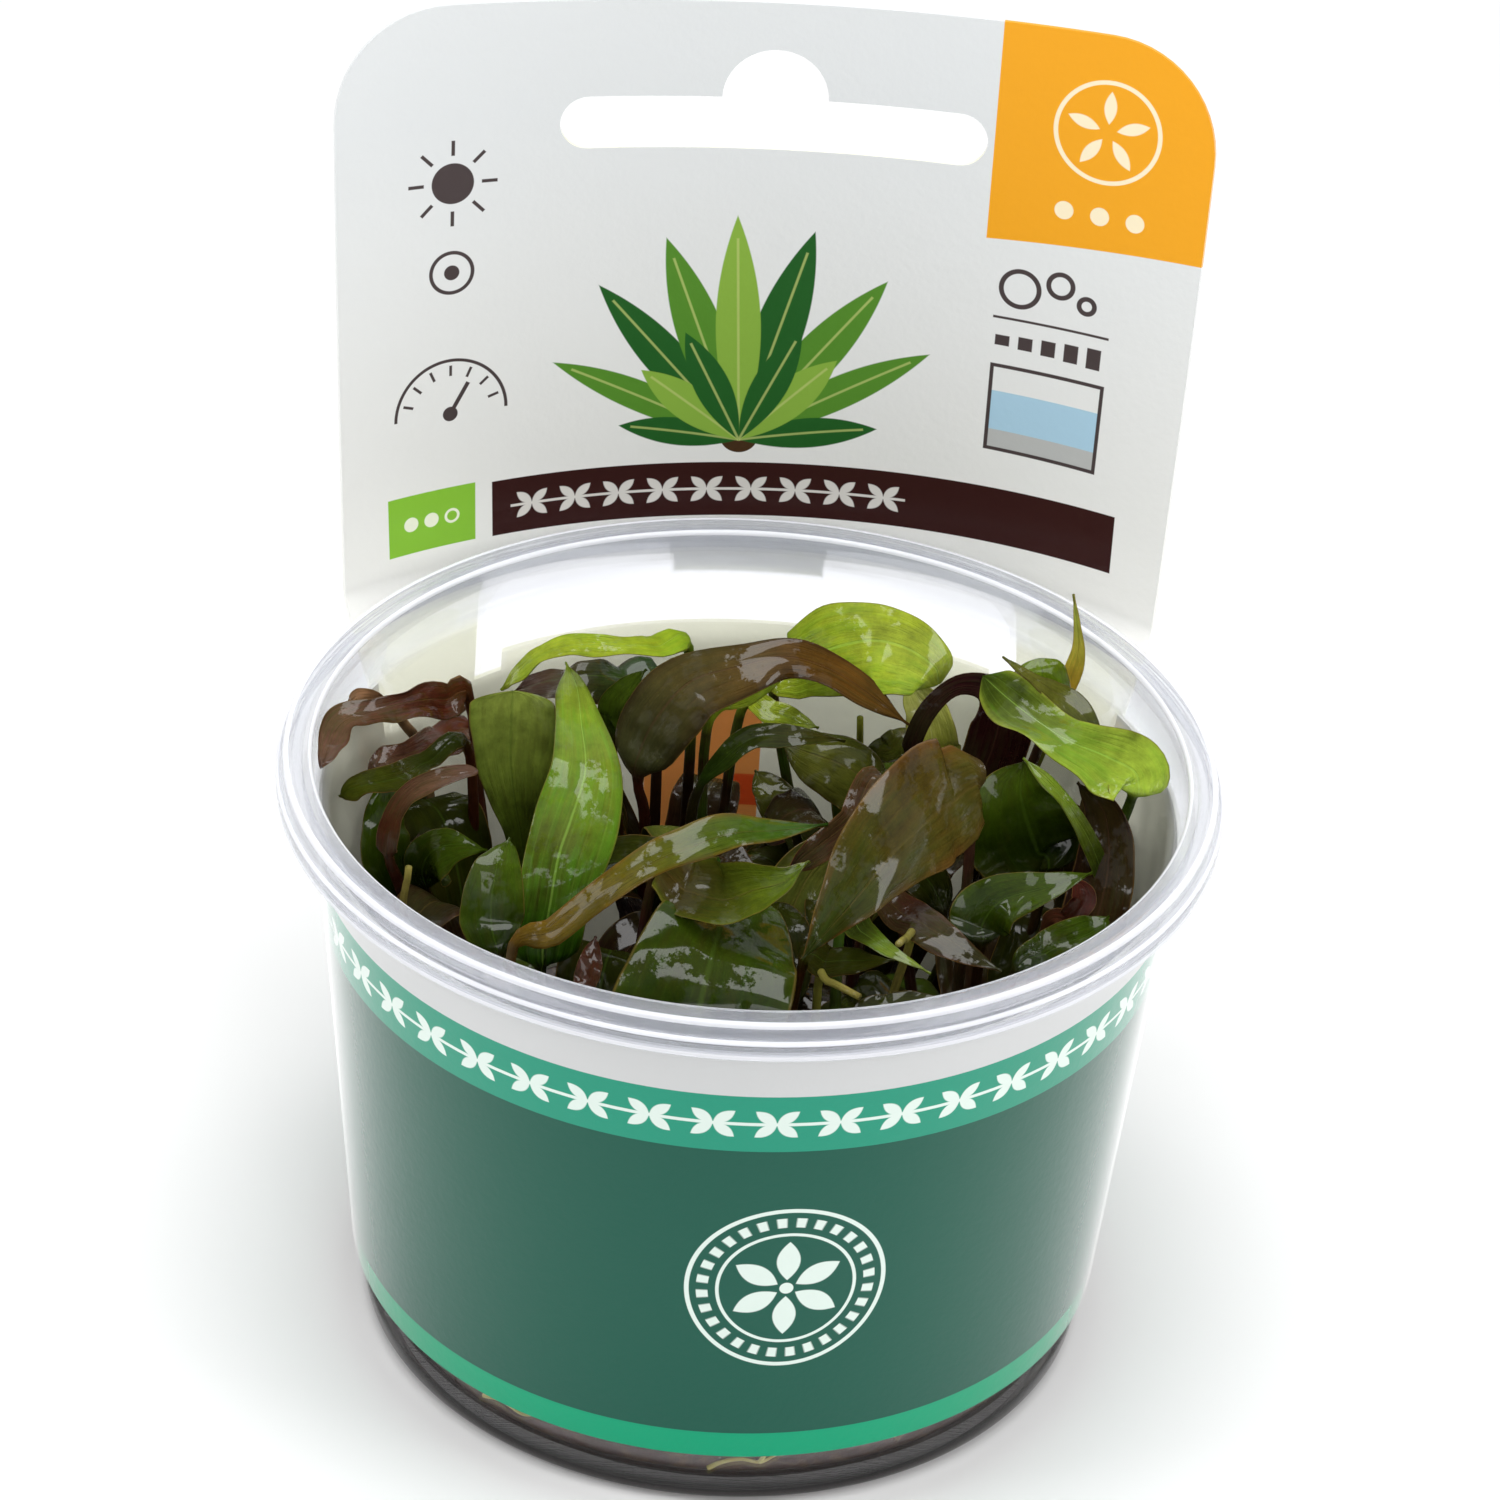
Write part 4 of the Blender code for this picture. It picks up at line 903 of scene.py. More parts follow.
# Radius of the sleeve's inner face at the tag's root, and half its way round
ROOT_RADIUS = wall_radius(TAG_ROOT_Z) + GAP
RING_HALF = pi * ROOT_RADIUS


def sheet_point(across, z):
    """A point of the sleeve's inner face; across is the arc length from the tag's middle."""
    ring = ring_point(across, z)
    if z <= TAG_ROOT_Z:
        return ring
    bow = TAG_BOW - TAG_BOW_FALL * (z - TAG_BOW_Z)
    turn = across * bow
    tag = Vector((sin(turn) / bow, TAG_DISTANCE - (1 - cos(turn)) / bow, z))
    return ring.lerp(tag, ease((z - TAG_ROOT_Z) / (TAG_CLEAR_Z - TAG_ROOT_Z)))


def ring_point(across, z):
    """A point of the sleeve's ring, also above the tag's root."""
    angle = across / ROOT_RADIUS
    radius = wall_radius(z) + GAP
    return Vector((radius * sin(angle), radius * cos(angle), z))


def tag_half_width(z):
    """Half width of the tag at height z, which narrows round its top corners."""
    over = max(z - (TAG_TOP - TAG_CORNER), 0.0)
    return TAG_HALF_WIDTH - TAG_CORNER + sqrt(max(TAG_CORNER ** 2 - over ** 2, 0.0))


def sheet_part(name, spots, surface):
    """One stretch of the sheet: spots[row][column] are (across, z), on the given surface."""
    rows, columns = len(spots) - 1, len(spots[0]) - 1
    piece, column, row = grid_piece(name, columns, rows,
                                    lambda i, j: surface(*spots[j][i]) * MM)
    corner = np.empty(len(piece.data.loops), dtype=int)
    piece.data.loops.foreach_get("vertex_index", corner)
    flat = np.array([spots[j][i] for i, j in zip(column, row)])[corner]
    layer = piece.data.uv_layers[0]
    layer.name = "print"
    layer.data.foreach_set("uv", (flat / UV_SPAN).ravel())
    return piece


def cutter(name, outline):
    """A solid of an (x, z) outline, drawn out along Y."""
    clear_selection()
    bpy.ops.mesh.primitive_circle_add(vertices=len(outline), fill_type="NGON")
    piece = begin(name)
    for vertex, (x, z) in zip(piece.data.vertices, outline):
        vertex.co = (x * MM, CUTTER_NEAR * MM, z * MM)
    way = {"value": (0, (CUTTER_FAR - CUTTER_NEAR) * MM, 0)}
    edit((bpy.ops.mesh.extrude_region_move, {"TRANSFORM_OT_translate": way}),
         (bpy.ops.mesh.normals_make_consistent, {"inside": False}))
    return piece


def cut_out(piece, outline):
    """Cuts an (x, z) outline through the sheet."""
    tool = cutter("cutter", outline)
    clear_selection()
    piece.select_set(True)
    bpy.context.view_layer.objects.active = piece
    cut = piece.modifiers.new("cut", "BOOLEAN")
    cut.operation = "DIFFERENCE"
    cut.object = tool
    bpy.ops.object.modifier_apply(modifier=cut.name)
    bpy.data.objects.remove(tool)


def slot_outline():
    """The hang slot: a long slot with round ends and a round bump in its upper edge."""
    end = (SLOT_HIGH - SLOT_LOW) / 2
    middle = SLOT_LOW + end
    outline = arc(SLOT_HALF - end, middle, end, -90, 90, 16)
    outline += arc(0, SLOT_HIGH, SLOT_BUMP, 0, 180, 24)
    return outline + arc(end - SLOT_HALF, middle, end, 90, 270, 16)


def window_outline():
    """The window behind the rim: round corners, a tab from above, a notch at each low corner."""
    inner = WINDOW_HALF - WINDOW_NOTCH_WIDTH
    low = WINDOW_LOW - WINDOW_NOTCH_DEPTH
    right = [(WINDOW_TAB_HALF, WINDOW_TAB_LOW), (WINDOW_TAB_HALF, WINDOW_HIGH)]
    right += arc(WINDOW_HALF - WINDOW_CORNER, WINDOW_HIGH - WINDOW_CORNER, WINDOW_CORNER, 90, 0, 8)
    right += [(WINDOW_HALF, low), (inner, low), (inner, WINDOW_LOW)]
    return right + [(-x, z) for x, z in reversed(right)]


def make_sleeve_sheet():
    """The die-cut sheet: the ring, its upper front and the tag, sewn together and thickened."""
    def spaced(start, length, count):
        return [start + length * i / count for i in range(count + 1)]

    tag_columns = [TAG_HALF_WIDTH * (2 * i / TAG_COLUMNS - 1) for i in range(TAG_COLUMNS + 1)]
    front_columns = spaced(TAG_HALF_WIDTH, 2 * (RING_HALF - TAG_HALF_WIDTH), FRONT_COLUMNS)
    low_rows = spaced(SLEEVE_BOTTOM, TAG_ROOT_Z - SLEEVE_BOTTOM, LOW_ROWS)
    top_rows = spaced(TAG_ROOT_Z, SLEEVE_TOP - TAG_ROOT_Z, TOP_ROWS)
    corner_z = TAG_TOP - TAG_CORNER
    tag_rows = spaced(TAG_ROOT_Z, TAG_CLEAR_Z - TAG_ROOT_Z, ROOT_ROWS)
    tag_rows += spaced(TAG_CLEAR_Z, corner_z - TAG_CLEAR_Z, TAG_ROWS)[1:]
    tag_rows += [corner_z + TAG_CORNER * sin(radians(90 * j / CORNER_ROWS))
                 for j in range(1, CORNER_ROWS + 1)]

    def slit(s, z):
        opening = SLIT * (z - TAG_ROOT_Z) / (SLEEVE_TOP - TAG_ROOT_Z)
        if s == front_columns[0]:
            return s + opening
        return s - opening if s == front_columns[-1] else s

    def spots(columns, rows, place=lambda s, z: s):
        return [[(place(s, z), z) for s in columns] for z in rows]

    parts = [
        sheet_part("printed_sleeve", spots(tag_columns, low_rows), ring_point),
        sheet_part("ring_front", spots(front_columns, low_rows), ring_point),
        sheet_part("ring_top", spots(front_columns, top_rows, slit), ring_point),
        sheet_part("tag", spots(tag_columns, tag_rows,
                                lambda s, z: s * tag_half_width(z) / TAG_HALF_WIDTH), sheet_point),
    ]
    clear_selection()
    for part in parts:
        part.select_set(True)
    sleeve = parts[0]
    bpy.context.view_layer.objects.active = sleeve
    bpy.ops.object.join()
    edit((bpy.ops.mesh.remove_doubles, {"threshold": SEW * MM}), (bpy.ops.mesh.flip_normals, {}))
    sheet = sleeve.modifiers.new("sheet", "SOLIDIFY")
    sheet.thickness = SHEET * MM
    sheet.offset = 1.0
    bpy.ops.object.modifier_apply(modifier=sheet.name)
    cut_out(sleeve, slot_outline())
    cut_out(sleeve, window_outline())
    bpy.ops.object.shade_smooth_by_angle(angle=radians(SHEET_SMOOTH_ANGLE))
    return sleeve


def mark_sides(piece):
    """Shifts the print's coordinates on faces that look outwards, so each side has its own."""
    layer = piece.data.uv_layers["print"].data
    for face in piece.data.polygons:
        outward = Vector((face.center.x, face.center.y, 0)).normalized()
        if face.normal.dot(outward) > 0.8:
            for corner in face.loop_indices:
                layer[corner].uv.x += UV_OUTER


class Artwork:
    """Printed shapes on the sleeve, as shares from 0 to 1 at the place s, z in millimetres."""

    def __init__(self, finish, s, z):
        self.finish = finish
        self.s = s
        self.z = z

    def moved(self, s, z):
        return Artwork(self.finish, self.s - s, self.z - z)

    def turned(self, degrees):
        c, n = cos(radians(degrees)), sin(radians(degrees))
        return Artwork(self.finish, self.s * c + self.z * n, self.z * c - self.s * n)

    def distance(self):
        return self.finish.math("SQRT", self.s * self.s + self.z * self.z)

    def disc(self, radius):
        return self.finish.inside(radius - self.distance())

    def ring(self, radius, line):
        return self.finish.inside(line / 2 - abs(self.distance() - radius))

    def box(self, half_width, half_height):
        sides = self.finish.least(half_width - abs(self.s), half_height - abs(self.z))
        return self.finish.inside(sides)

    def frame(self, half_width, half_height, line):
        sides = self.finish.least(half_width - abs(self.s), half_height - abs(self.z))
        return self.finish.inside(line / 2 - abs(sides))

    def blade(self, length, half_width):
        """A lance-shaped leaf from this place up to its tip."""
        share = self.z / length
        return self.finish.inside(share * (1.0 - share) * (4 * half_width) - abs(self.s), 0.1)

    def rib(self, length, line):
        up = self.finish.least(self.z, length - self.z)
        return self.finish.inside(self.finish.least(line / 2 - abs(self.s), up), 0.1)


def tag_print(finish, art, colours):
    """The tag's front, painted greyer towards its top as shade: a coloured corner, plain marks, a
    drawn plant, a dark bar, a small patch.
    """
    s, z = art.s, art.z
    # Painted shade: the face is light below and greyer above
    painted_shade_fade = finish.inside(TAG_PAINTED_SHADE_Z - z, TAG_PAINTED_SHADE_DEPTH)
    colour = finish.mix(painted_shade_fade, srgb(228, 231, 232), srgb(244, 244, 240))
    colour = finish.mix(finish.inside(INNER_PRINT_Z - z, 1.0), colour, srgb(252, 252, 232))
    inner = art.moved(*INNER_PANEL)
    colour = finish.mix(inner.box(5.5, 7.5), colour, srgb(244, 158, 84))
    colour = finish.mix(inner.moved(4.3, -2.3).box(1.2, 1.6), colour, srgb(226, 84, 36))

    corner = finish.inside(s - CORNER_LEFT) * finish.inside(z - s * CORNER_SLOPE - CORNER_LOW)
    colour = finish.mix(corner, colour, tuple(colours.orange))
    badge = art.moved(*BADGE)
    petals = [badge.turned(72 * i).moved(0, 0.8).blade(3.0, 0.55) for i in range(5)]
    first, level = BADGE_DOTS
    dots = [art.moved(first + 3.2 * i, level).disc(0.85) for i in range(3)]
    lines = finish.most(badge.ring(4.6, 0.4), *petals, *dots)
    colour = finish.mix(lines * corner, colour, srgb(255, 240, 205))

    tilted = art.moved(*BAR).turned(BAR_TILT)
    colour = finish.mix(tilted.box(28.75, 2.75), colour, tuple(colours.bar))
    first, last, period = BAR_SPRIGS
    repeat = Artwork(finish, (tilted.s - first) % period - period / 2, tilted.z)
    blades = [repeat.turned(degrees).blade(1.9, 0.42) for degrees in (-48, 48, 132, -132)]
    sprig = finish.most(*blades, finish.inside(0.13 - abs(tilted.z)))
    sprig = sprig * finish.inside(tilted.s - first) * finish.inside(last - tilted.s)
    colour = finish.mix(sprig, colour, srgb(225, 222, 216))
    patch = art.moved(*PATCH).turned(1.0)
    colour = finish.mix(patch.box(4.25, 2.85), colour, tuple(colours.lime))
    dots = finish.most(patch.moved(-2, 0).disc(0.7), patch.disc(0.7),
                       patch.moved(2, 0).ring(0.6, 0.25))
    colour = finish.mix(dots, colour, srgb(245, 250, 225))

    sun, eye, dial = (art.moved(*place) for place in (SUN, EYE, DIAL))
    ink = [sun.disc(1.9)]
    ink += [sun.turned(45 * i).moved(0, 3.3).box(0.16, 0.7) for i in range(8)]
    ink += [eye.ring(1.9, 0.34), eye.disc(0.7), dial.ring(5.2, 0.3) * finish.inside(dial.z)]
    ink += [dial.turned(24 * i).moved(0, 4.2).box(0.13, 0.5) for i in range(-3, 4)]
    ink += [dial.turned(-30).moved(0, 1.6).box(0.2, 1.7), dial.disc(0.7)]
    ink += [art.moved(across, height).ring(radius, 0.45) for across, height, radius in BUBBLES]
    ink.append(art.moved(*RULE).box(5.3, 0.12))
    first, level = STAIRS
    ink += [art.moved(first + 2.1 * i, level).box(0.65, 0.5 + 0.12 * i) for i in range(5)]
    dark = srgb(75, 65, 65)
    colour = finish.mix(finish.most(*ink), colour, dark)
    basin = art.moved(*BASIN)
    for top, tone in ((1.6, srgb(176, 212, 232)), (-2.2, srgb(190, 192, 190))):
        colour = finish.mix(basin.box(5.0, 4.0) * finish.inside(top - basin.z), colour, tone)
    colour = finish.mix(basin.frame(5.1, 4.1, 0.35), colour, dark)
    return drawn_plant(finish, art.moved(*DRAWN_PLANT), colour)


def drawn_plant(finish, art, colour):
    """A plain drawing of a leafy plant: lance-shaped leaves that fan out of one foot."""
    dark, mid, light = srgb(38, 96, 40), srgb(88, 142, 48), srgb(140, 180, 70)
    colour = finish.mix(art.moved(0, 0.4).disc(1.7), colour, srgb(74, 52, 32))
    fan = ((-64, 19.0, 1.5, mid), (58, 19.5, 1.6, mid), (-40, 20.5, 1.9, dark),
           (36, 21.0, 2.0, mid), (-20, 21.5, 2.1, mid), (15, 22.0, 2.2, dark),
           (-3, 22.5, 2.0, light), (-82, 11.0, 1.4, dark), (80, 12.5, 1.5, dark),
           (-52, 11.5, 1.7, light), (44, 12.0, 1.8, light), (24, 12.5, 1.6, dark),
           (-26, 12.0, 1.6, dark))
    for degrees, length, half_width, tone in fan:
        leaf = art.turned(-degrees)
        colour = finish.mix(leaf.blade(length, half_width), colour, tone)
        colour = finish.mix(leaf.rib(length * 0.9, 0.22) * 0.7, colour, srgb(190, 205, 120))
    return colour


def ring_print(finish, art, colours):
    """The ring's outside: level bands of green under a pale edge, a row of sprigs, a rosette."""
    s, z = art.s, art.z
    colour = srgb(208, 209, 209)
    for top, tone in ((PALE_EDGE_Z, colours.band_green), (BAND_Z, colours.dark_green),
                      (STRIPE_Z, colours.edge_green)):
        colour = finish.mix(finish.inside(top - z), colour, tuple(tone))

    period = 2 * RING_HALF / SPRIGS
    repeat = Artwork(finish, s % period - period / 2, z - SPRIG_Z)
    blades = [repeat.turned(degrees).blade(2.2, 0.5) for degrees in (-52, 232, 52, 128)]
    sprig = finish.most(finish.inside(0.16 - abs(repeat.z)), *blades)
    white = srgb(226, 240, 232)
    colour = finish.mix(sprig, colour, white)

    front = Artwork(finish, RING_HALF - s % (2 * RING_HALF) - SEAL_ACROSS, z - SEAL_Z)
    angle = finish.math("ARCTAN2", front.s, front.z)
    fold = (angle / (2 * pi / SEAL_BEADS)) % 1.0 - 0.5
    beads = finish.inside(0.5 - abs(front.distance() - 7.2)) * finish.inside(0.25 - abs(fold), 0.1)
    petals = [front.turned(60 * i).moved(0, 0.9).blade(4.2, 1.0) for i in range(6)]
    seal = finish.most(front.ring(8.5, 0.4), front.ring(5.9, 0.3), beads, *petals, front.disc(0.6))
    return finish.mix(seal, colour, white)


def sleeve_finish(colours):
    """Satin printed film: one print inside and on the tag's face, another outside."""
    finish = Finish("printed_film", ior=1.48, specular_ior_level=0.12, coat_roughness=0.15)
    uv = finish.split(finish.node("ShaderNodeUVMap", {"uv_map": "print"}))
    outer = finish.inside(uv[0] - UV_OUTER / 2, 0.01)
    art = Artwork(finish, (uv[0] - outer * UV_OUTER) * UV_SPAN, uv[1] * UV_SPAN)
    face = tag_print(finish, art, colours)
    outside = ring_print(finish, art, colours)
    outside = finish.mix(finish.inside(art.z - SLEEVE_TOP, 0.1), outside, srgb(226, 230, 230))
    grain = finish.noise(1400.0, 2.0)
    finish.plug("Base Color", finish.mix(outer, face, outside))
    finish.plug("Roughness", grain * 0.12 + 0.3)
    grazing = finish.node("ShaderNodeLayerWeight", None, {"Blend": 0.5}, 1)
    finish.plug("Coat Weight", grazing * grazing * 2.1 + 0.05)
    finish.bump(grain * 0.2 + finish.noise(60.0, 2.0), 0.15)
    return finish.material


def cup_outline(wall):
    """The cup's section, from the middle of its underside, up and over the rim, to its floor."""
    ring_outer = LIP_INNER_RADIUS + wall
    ring_top = CUP_HEIGHT - wall
    lip_inner = LIP_OUTER_RADIUS - SKIRT_WALL
    skirt_inner = RIM_RADIUS - SKIRT_WALL
    inner_shoulder = SHOULDER_Z - wall / 2
    foot = wall_radius(BASE_CORNER)
    groove_outer, groove_inner = LIP_GROOVE_RADII
    outside = [(0, BASE_RECESS, 0), (foot - 5.5, BASE_RECESS, 0.6), (foot - 4.3, 0, 0.6),
               (wall_radius(0), 0, BASE_CORNER), (wall_radius(MID_WALL_Z), MID_WALL_Z, 0.5),
               (wall_radius(SHOULDER_Z), SHOULDER_Z, 0.5),
               (ring_outer, SHOULDER_Z + SHOULDER_RISE, 0.6)]
    rim = [(ring_outer, ring_top, 0.3), (lip_inner, ring_top, 0.3),
           (lip_inner, SKIRT_TOP - 0.4, 0.2), (skirt_inner, SKIRT_TOP - SKIRT_WALL, 0.2),
           (skirt_inner, SKIRT_BOTTOM, 0.3), (RIM_RADIUS, SKIRT_BOTTOM, 0.35),
           (RIM_RADIUS - 0.12, SKIRT_BOTTOM + 0.75, 0.15), (RIM_RADIUS, SKIRT_BOTTOM + 0.95, 0.15),
           (RIM_RADIUS, SKIRT_TOP, 0.25), (LIP_OUTER_RADIUS, SKIRT_TOP + GAP, 0.2),
           (LIP_OUTER_RADIUS, CUP_HEIGHT, 0.45), (groove_outer, CUP_HEIGHT - 0.25, 0.6),
           (groove_inner, CUP_HEIGHT - 0.1, 0.4), (LIP_INNER_RADIUS, CUP_HEIGHT - 0.3, 0.4)]
    inside = [(LIP_INNER_RADIUS, inner_shoulder + SHOULDER_RISE, 0.6),
              (wall_radius(inner_shoulder) - wall, inner_shoulder, 0.5),
              (wall_radius(MID_WALL_Z) - wall, MID_WALL_Z, 0.5),
              (wall_radius(FLOOR_Z) - wall, FLOOR_Z, FLOOR_CORNER), (0, FLOOR_Z, 0)]
    return rounded(outside + rim + inside)


def gel_outline(wall):
    """The gel's section: it fills the cup's bottom and stands a little higher at the wall."""
    def inner(z):
        return wall_radius(z) - wall - GAP
    low = FLOOR_Z + GAP
    edge_z = GEL_TOP + GEL_EDGE_RISE
    return rounded([(0, low, 0), (inner(low), low, FLOOR_CORNER), (inner(edge_z), edge_z, 0.3),
                    (inner(GEL_TOP) - GEL_EDGE_WIDTH, GEL_TOP, 0.8), (0, GEL_TOP, 0)], 8)


def stalk_roots(crown):
    """Where the crown's leaves stand: evenly round it, in the order of their directions."""
    cx, cy = CROWNS[crown]
    leaves = [leaf for leaf in LEAVES if leaf.crown == crown]
    heading = {leaf.name: atan2(leaf.spine[0][1] - cy, leaf.spine[0][0] - cx) for leaf in leaves}
    leaves.sort(key=lambda leaf: heading[leaf.name])
    step = 2 * pi / len(leaves)
    lead_x = sum(cos(heading[leaf.name] - i * step) for i, leaf in enumerate(leaves))
    lead_y = sum(sin(heading[leaf.name] - i * step) for i, leaf in enumerate(leaves))
    lead = atan2(lead_y, lead_x)
    return {leaf.name: Vector((cx + RING_RADIUS * cos(lead + i * step),
                               cy + RING_RADIUS * sin(lead + i * step), GEL_TOP + GAP))
            for i, leaf in enumerate(leaves)}


def spread(values, share):
    """The value at a share, from 0 to 1, of the way along evenly spread values."""
    return values[0] if len(values) == 1 else smooth_point(values, share * (len(values) - 1))


def curved(across, fold, curl):
    """Where a point across a blade of half width 1 goes: how far out and how far up."""
    soft = sqrt(across * across + CREASE_SOFT) - CREASE_DROP
    if abs(curl) < 0.001:
        return across * cos(fold), soft * sin(fold)
    out = (sin(fold + curl * across) - sin(fold)) / curl
    return out, (cos(fold) - cos(fold + curl * soft)) / curl


def leaf_shape(leaf, root):
    """Cross-sections of a leaf, with how far across, along and under each of their points is."""
    spine = [Vector(p) for p in leaf.spine]
    foot = root.lerp(Vector((spine[0].x, spine[0].y, root.z)), STALK_LEAN)
    points = [root, foot + Vector((0, 0, STALK_LIFT))] + spine
    blade_from = leaf.start + 2
    blade_length = len(points) - 1 - blade_from
    stalk_radius = STALK_RADIUS if blade_length else BARE_STALK_RADIUS
    places = [blade_from * i / STALK_RINGS for i in range(STALK_RINGS)]
    if blade_length:
        places += [blade_from + blade_length * sin(pi / 2 * i / BLADE_RINGS)
                   for i in range(BLADE_RINGS + 1)]
    else:
        places.append(blade_from)
    path = [smooth_point(points, place) for place in places]
    faces = [Vector(face).normalized() for face in leaf.faces]
    widths = [list(leaf.left), list(leaf.right or leaf.left)]
    half_around = AROUND // 2
    sections, marks = [], []
    for i, (place, centre) in enumerate(zip(places, path)):
        along = max(place - blade_from, 0) / max(blade_length, 1)
        tangent = (path[min(i + 1, len(path) - 1)] - path[max(i - 1, 0)]).normalized()
        side = tangent.cross(spread(faces, along)).normalized()
        normal = side.cross(tangent)
        if along == 0:
            stalk = stalk_radius * (1 - STALK_TAPER * place / blade_from)
        else:
            stalk = stalk_radius * ((1 - STALK_TAPER) * (1 - along))
        end = max(along - ROUND_FROM, 0) / (1 - ROUND_FROM)
        grown = ease(along / BASE_SHARE) * sqrt(max(1 - end * end, 0))
        halves = [max(spread(width, along), 0) * grown for width in widths]
        halves = [max(sqrt(half ** 2 + stalk ** 2), TIP_HALF_WIDTH) for half in halves]
        flat = ease(along / FLAT_SHARE)
        fold, curl = radians(leaf.fold) * flat, radians(leaf.curl) * flat
        section, mark = [], []
        for k in range(AROUND):
            angle = pi * k / half_around
            x = -cos(angle)
            under = k > half_around
            half = halves[x > 0]
            out, up = curved(abs(x), fold, curl)
            lean = fold + curl * abs(x)
            out_way = side if x > 0 else -side
            outer = normal * cos(lean) - out_way * sin(lean)
            wave = sin(2 * pi * (WAVES * along + 0.25 * x)) * abs(x)
            wave += RIPPLE_SHARE * sin(2 * pi * (RIPPLES * along + 0.4 * x)) * x * x
            thin = (EDGE_THICK + (BLADE_THICK * (1 - 0.5 * along) - EDGE_THICK) * (1 - x * x)) / 2
            thin_height = thin * (1 if k <= half_around else -1) * abs(sin(angle)) ** 0.5
            height = half * sin(angle) * (1 - flat) + thin_height * flat
            section.append(centre + out_way * half * out + normal * half * up
                           + outer * (leaf.wave * wave * flat + height))
            edge = abs(x) > 0.995
            mark.append((x, along if along > 0 else place / blade_from - 1,
                         0.5 if edge else float(under)))
        sections.append(section)
        marks.append(mark)
    return np.array(sections), np.array(marks)


def blade_colours(look, marks):
    """The colour painted at each point: stalk to blade, base to tip, margin and underside."""
    across, along, lower = (marks[..., i, None] for i in range(3))
    blade, tip, margin, under, stalk = (np.array(tone) for tone in look[1:])
    up = np.clip(along, 0, 1)
    up = up * up * (3 - 2 * up)
    upper = blade + (tip - blade) * up
    outward = np.clip(np.abs(across) - MARGIN_FROM, 0, 1 - MARGIN_FROM) / (1 - MARGIN_FROM)
    upper = upper + (margin - upper) * outward * MARGIN_SHARE
    colour = upper + (under - upper) * lower
    grown = np.clip(along / STALK_BLEND, 0, 1)
    colour = stalk + (colour - stalk) * grown
    return np.concatenate([colour, np.ones_like(across)], axis=-1)


def make_leaf(leaf, root):
    """One leaf with its stalk, as a grid wrapped round its cross-sections."""
    sections, marks = leaf_shape(leaf, root)
    rows = len(sections) - 1
    piece, column, row = grid_piece(leaf.name, AROUND, rows,
                                    lambda i, j: sections[j][i % AROUND] * MM)
    spots = marks[row, column % AROUND]
    paint(piece, "across", spots[:, 0])
    paint(piece, "along", spots[:, 1])
    paint(piece, "lower", spots[:, 2])
    paint(piece, "blade_color", blade_colours(LOOKS[leaf.look], spots), "FLOAT_COLOR", "color")
    sew()
    return piece


def crown_edge(crown, angle):
    """A foot for a small leaf: a spot on the gel at the crown's edge, at the given angle."""
    cx, cy = CROWNS[crown]
    return Vector((cx + CROWN_RADIUS * cos(angle), cy + CROWN_RADIUS * sin(angle), GEL_TOP + GAP))


def young_leaf(crown, i, fan=False):
    """A short leaf low round a crown, in a direction and height of its own, and its foot.

    Those of the fan reach out further and lower, towards the front of the cup.
    """
    cx, cy = CROWNS[crown]
    vary = (i * GOLDEN_SHARE + cy * 0.37) % 1.0
    if fan:
        spin = -radians(FAN_START - FAN_SPAN * (i - YOUNG_LEAVES + 0.5) / FAN_LEAVES)
        rise = FAN_RISE * (0.7 + 0.5 * vary)
        stretch, clear, width = FAN_REACH, FAN_CLEAR, FAN_WIDTH
    else:
        spin = (i + 0.5) * 2 * pi / YOUNG_LEAVES + cx
        rise_share = YOUNG_BACK_RISE if cy > 0 else YOUNG_FRONT_RISE
        rise = YOUNG_LOW + (YOUNG_HIGH - YOUNG_LOW) * vary * rise_share
        stretch, clear, width = 1, YOUNG_CLEAR, YOUNG_WIDTH
    way = Vector((cos(spin), sin(spin), 0))
    spine = []
    for reach, height in YOUNG_PATH:
        spot = Vector((cx, cy, 0)) + way * reach * stretch
        z = GEL_TOP + rise * height
        room = wall_radius(z) - clear
        if spot.length > room:
            spot = spot * (room / spot.length)
        spine.append((spot.x, spot.y, z))
    face = (-way.x * 0.6, -way.y * 0.6, 0.8)
    look = YOUNG_LOOKS[(i + len(crown)) % len(YOUNG_LOOKS)]
    leaf = Leaf(f"young_{crown}_{i + 1}", crown, tuple(spine), 0, (face,), look,
                lance(width + YOUNG_EXTRA_WIDTH * vary, 0.45), wave=0.3, curl=-20)
    return leaf, crown_edge(crown, spin)


def make_crown(name, place):
    """A short, knobbly rhizome stub: a ball drawn up, flattened at its foot and ridged."""
    clear_selection()
    bpy.ops.mesh.primitive_uv_sphere_add(segments=24, ring_count=14, radius=1.0)
    piece = begin(name + "_rhizome")
    for vertex in piece.data.vertices:
        x, y, z = vertex.co
        height = (z + 1) / 2
        ridge = 1 + 0.06 * sin(height * 22) + 0.05 * sin(5 * atan2(y, x) + height * 6)
        width = CROWN_RADIUS * (0.95 if height < 0.5 else 1.0) * ridge
        vertex.co = Vector((place[0] + x * width, place[1] + y * width,
                            GEL_TOP + GAP + CROWN_HEIGHT * height)) * MM
    bpy.ops.object.shade_smooth()
    return piece


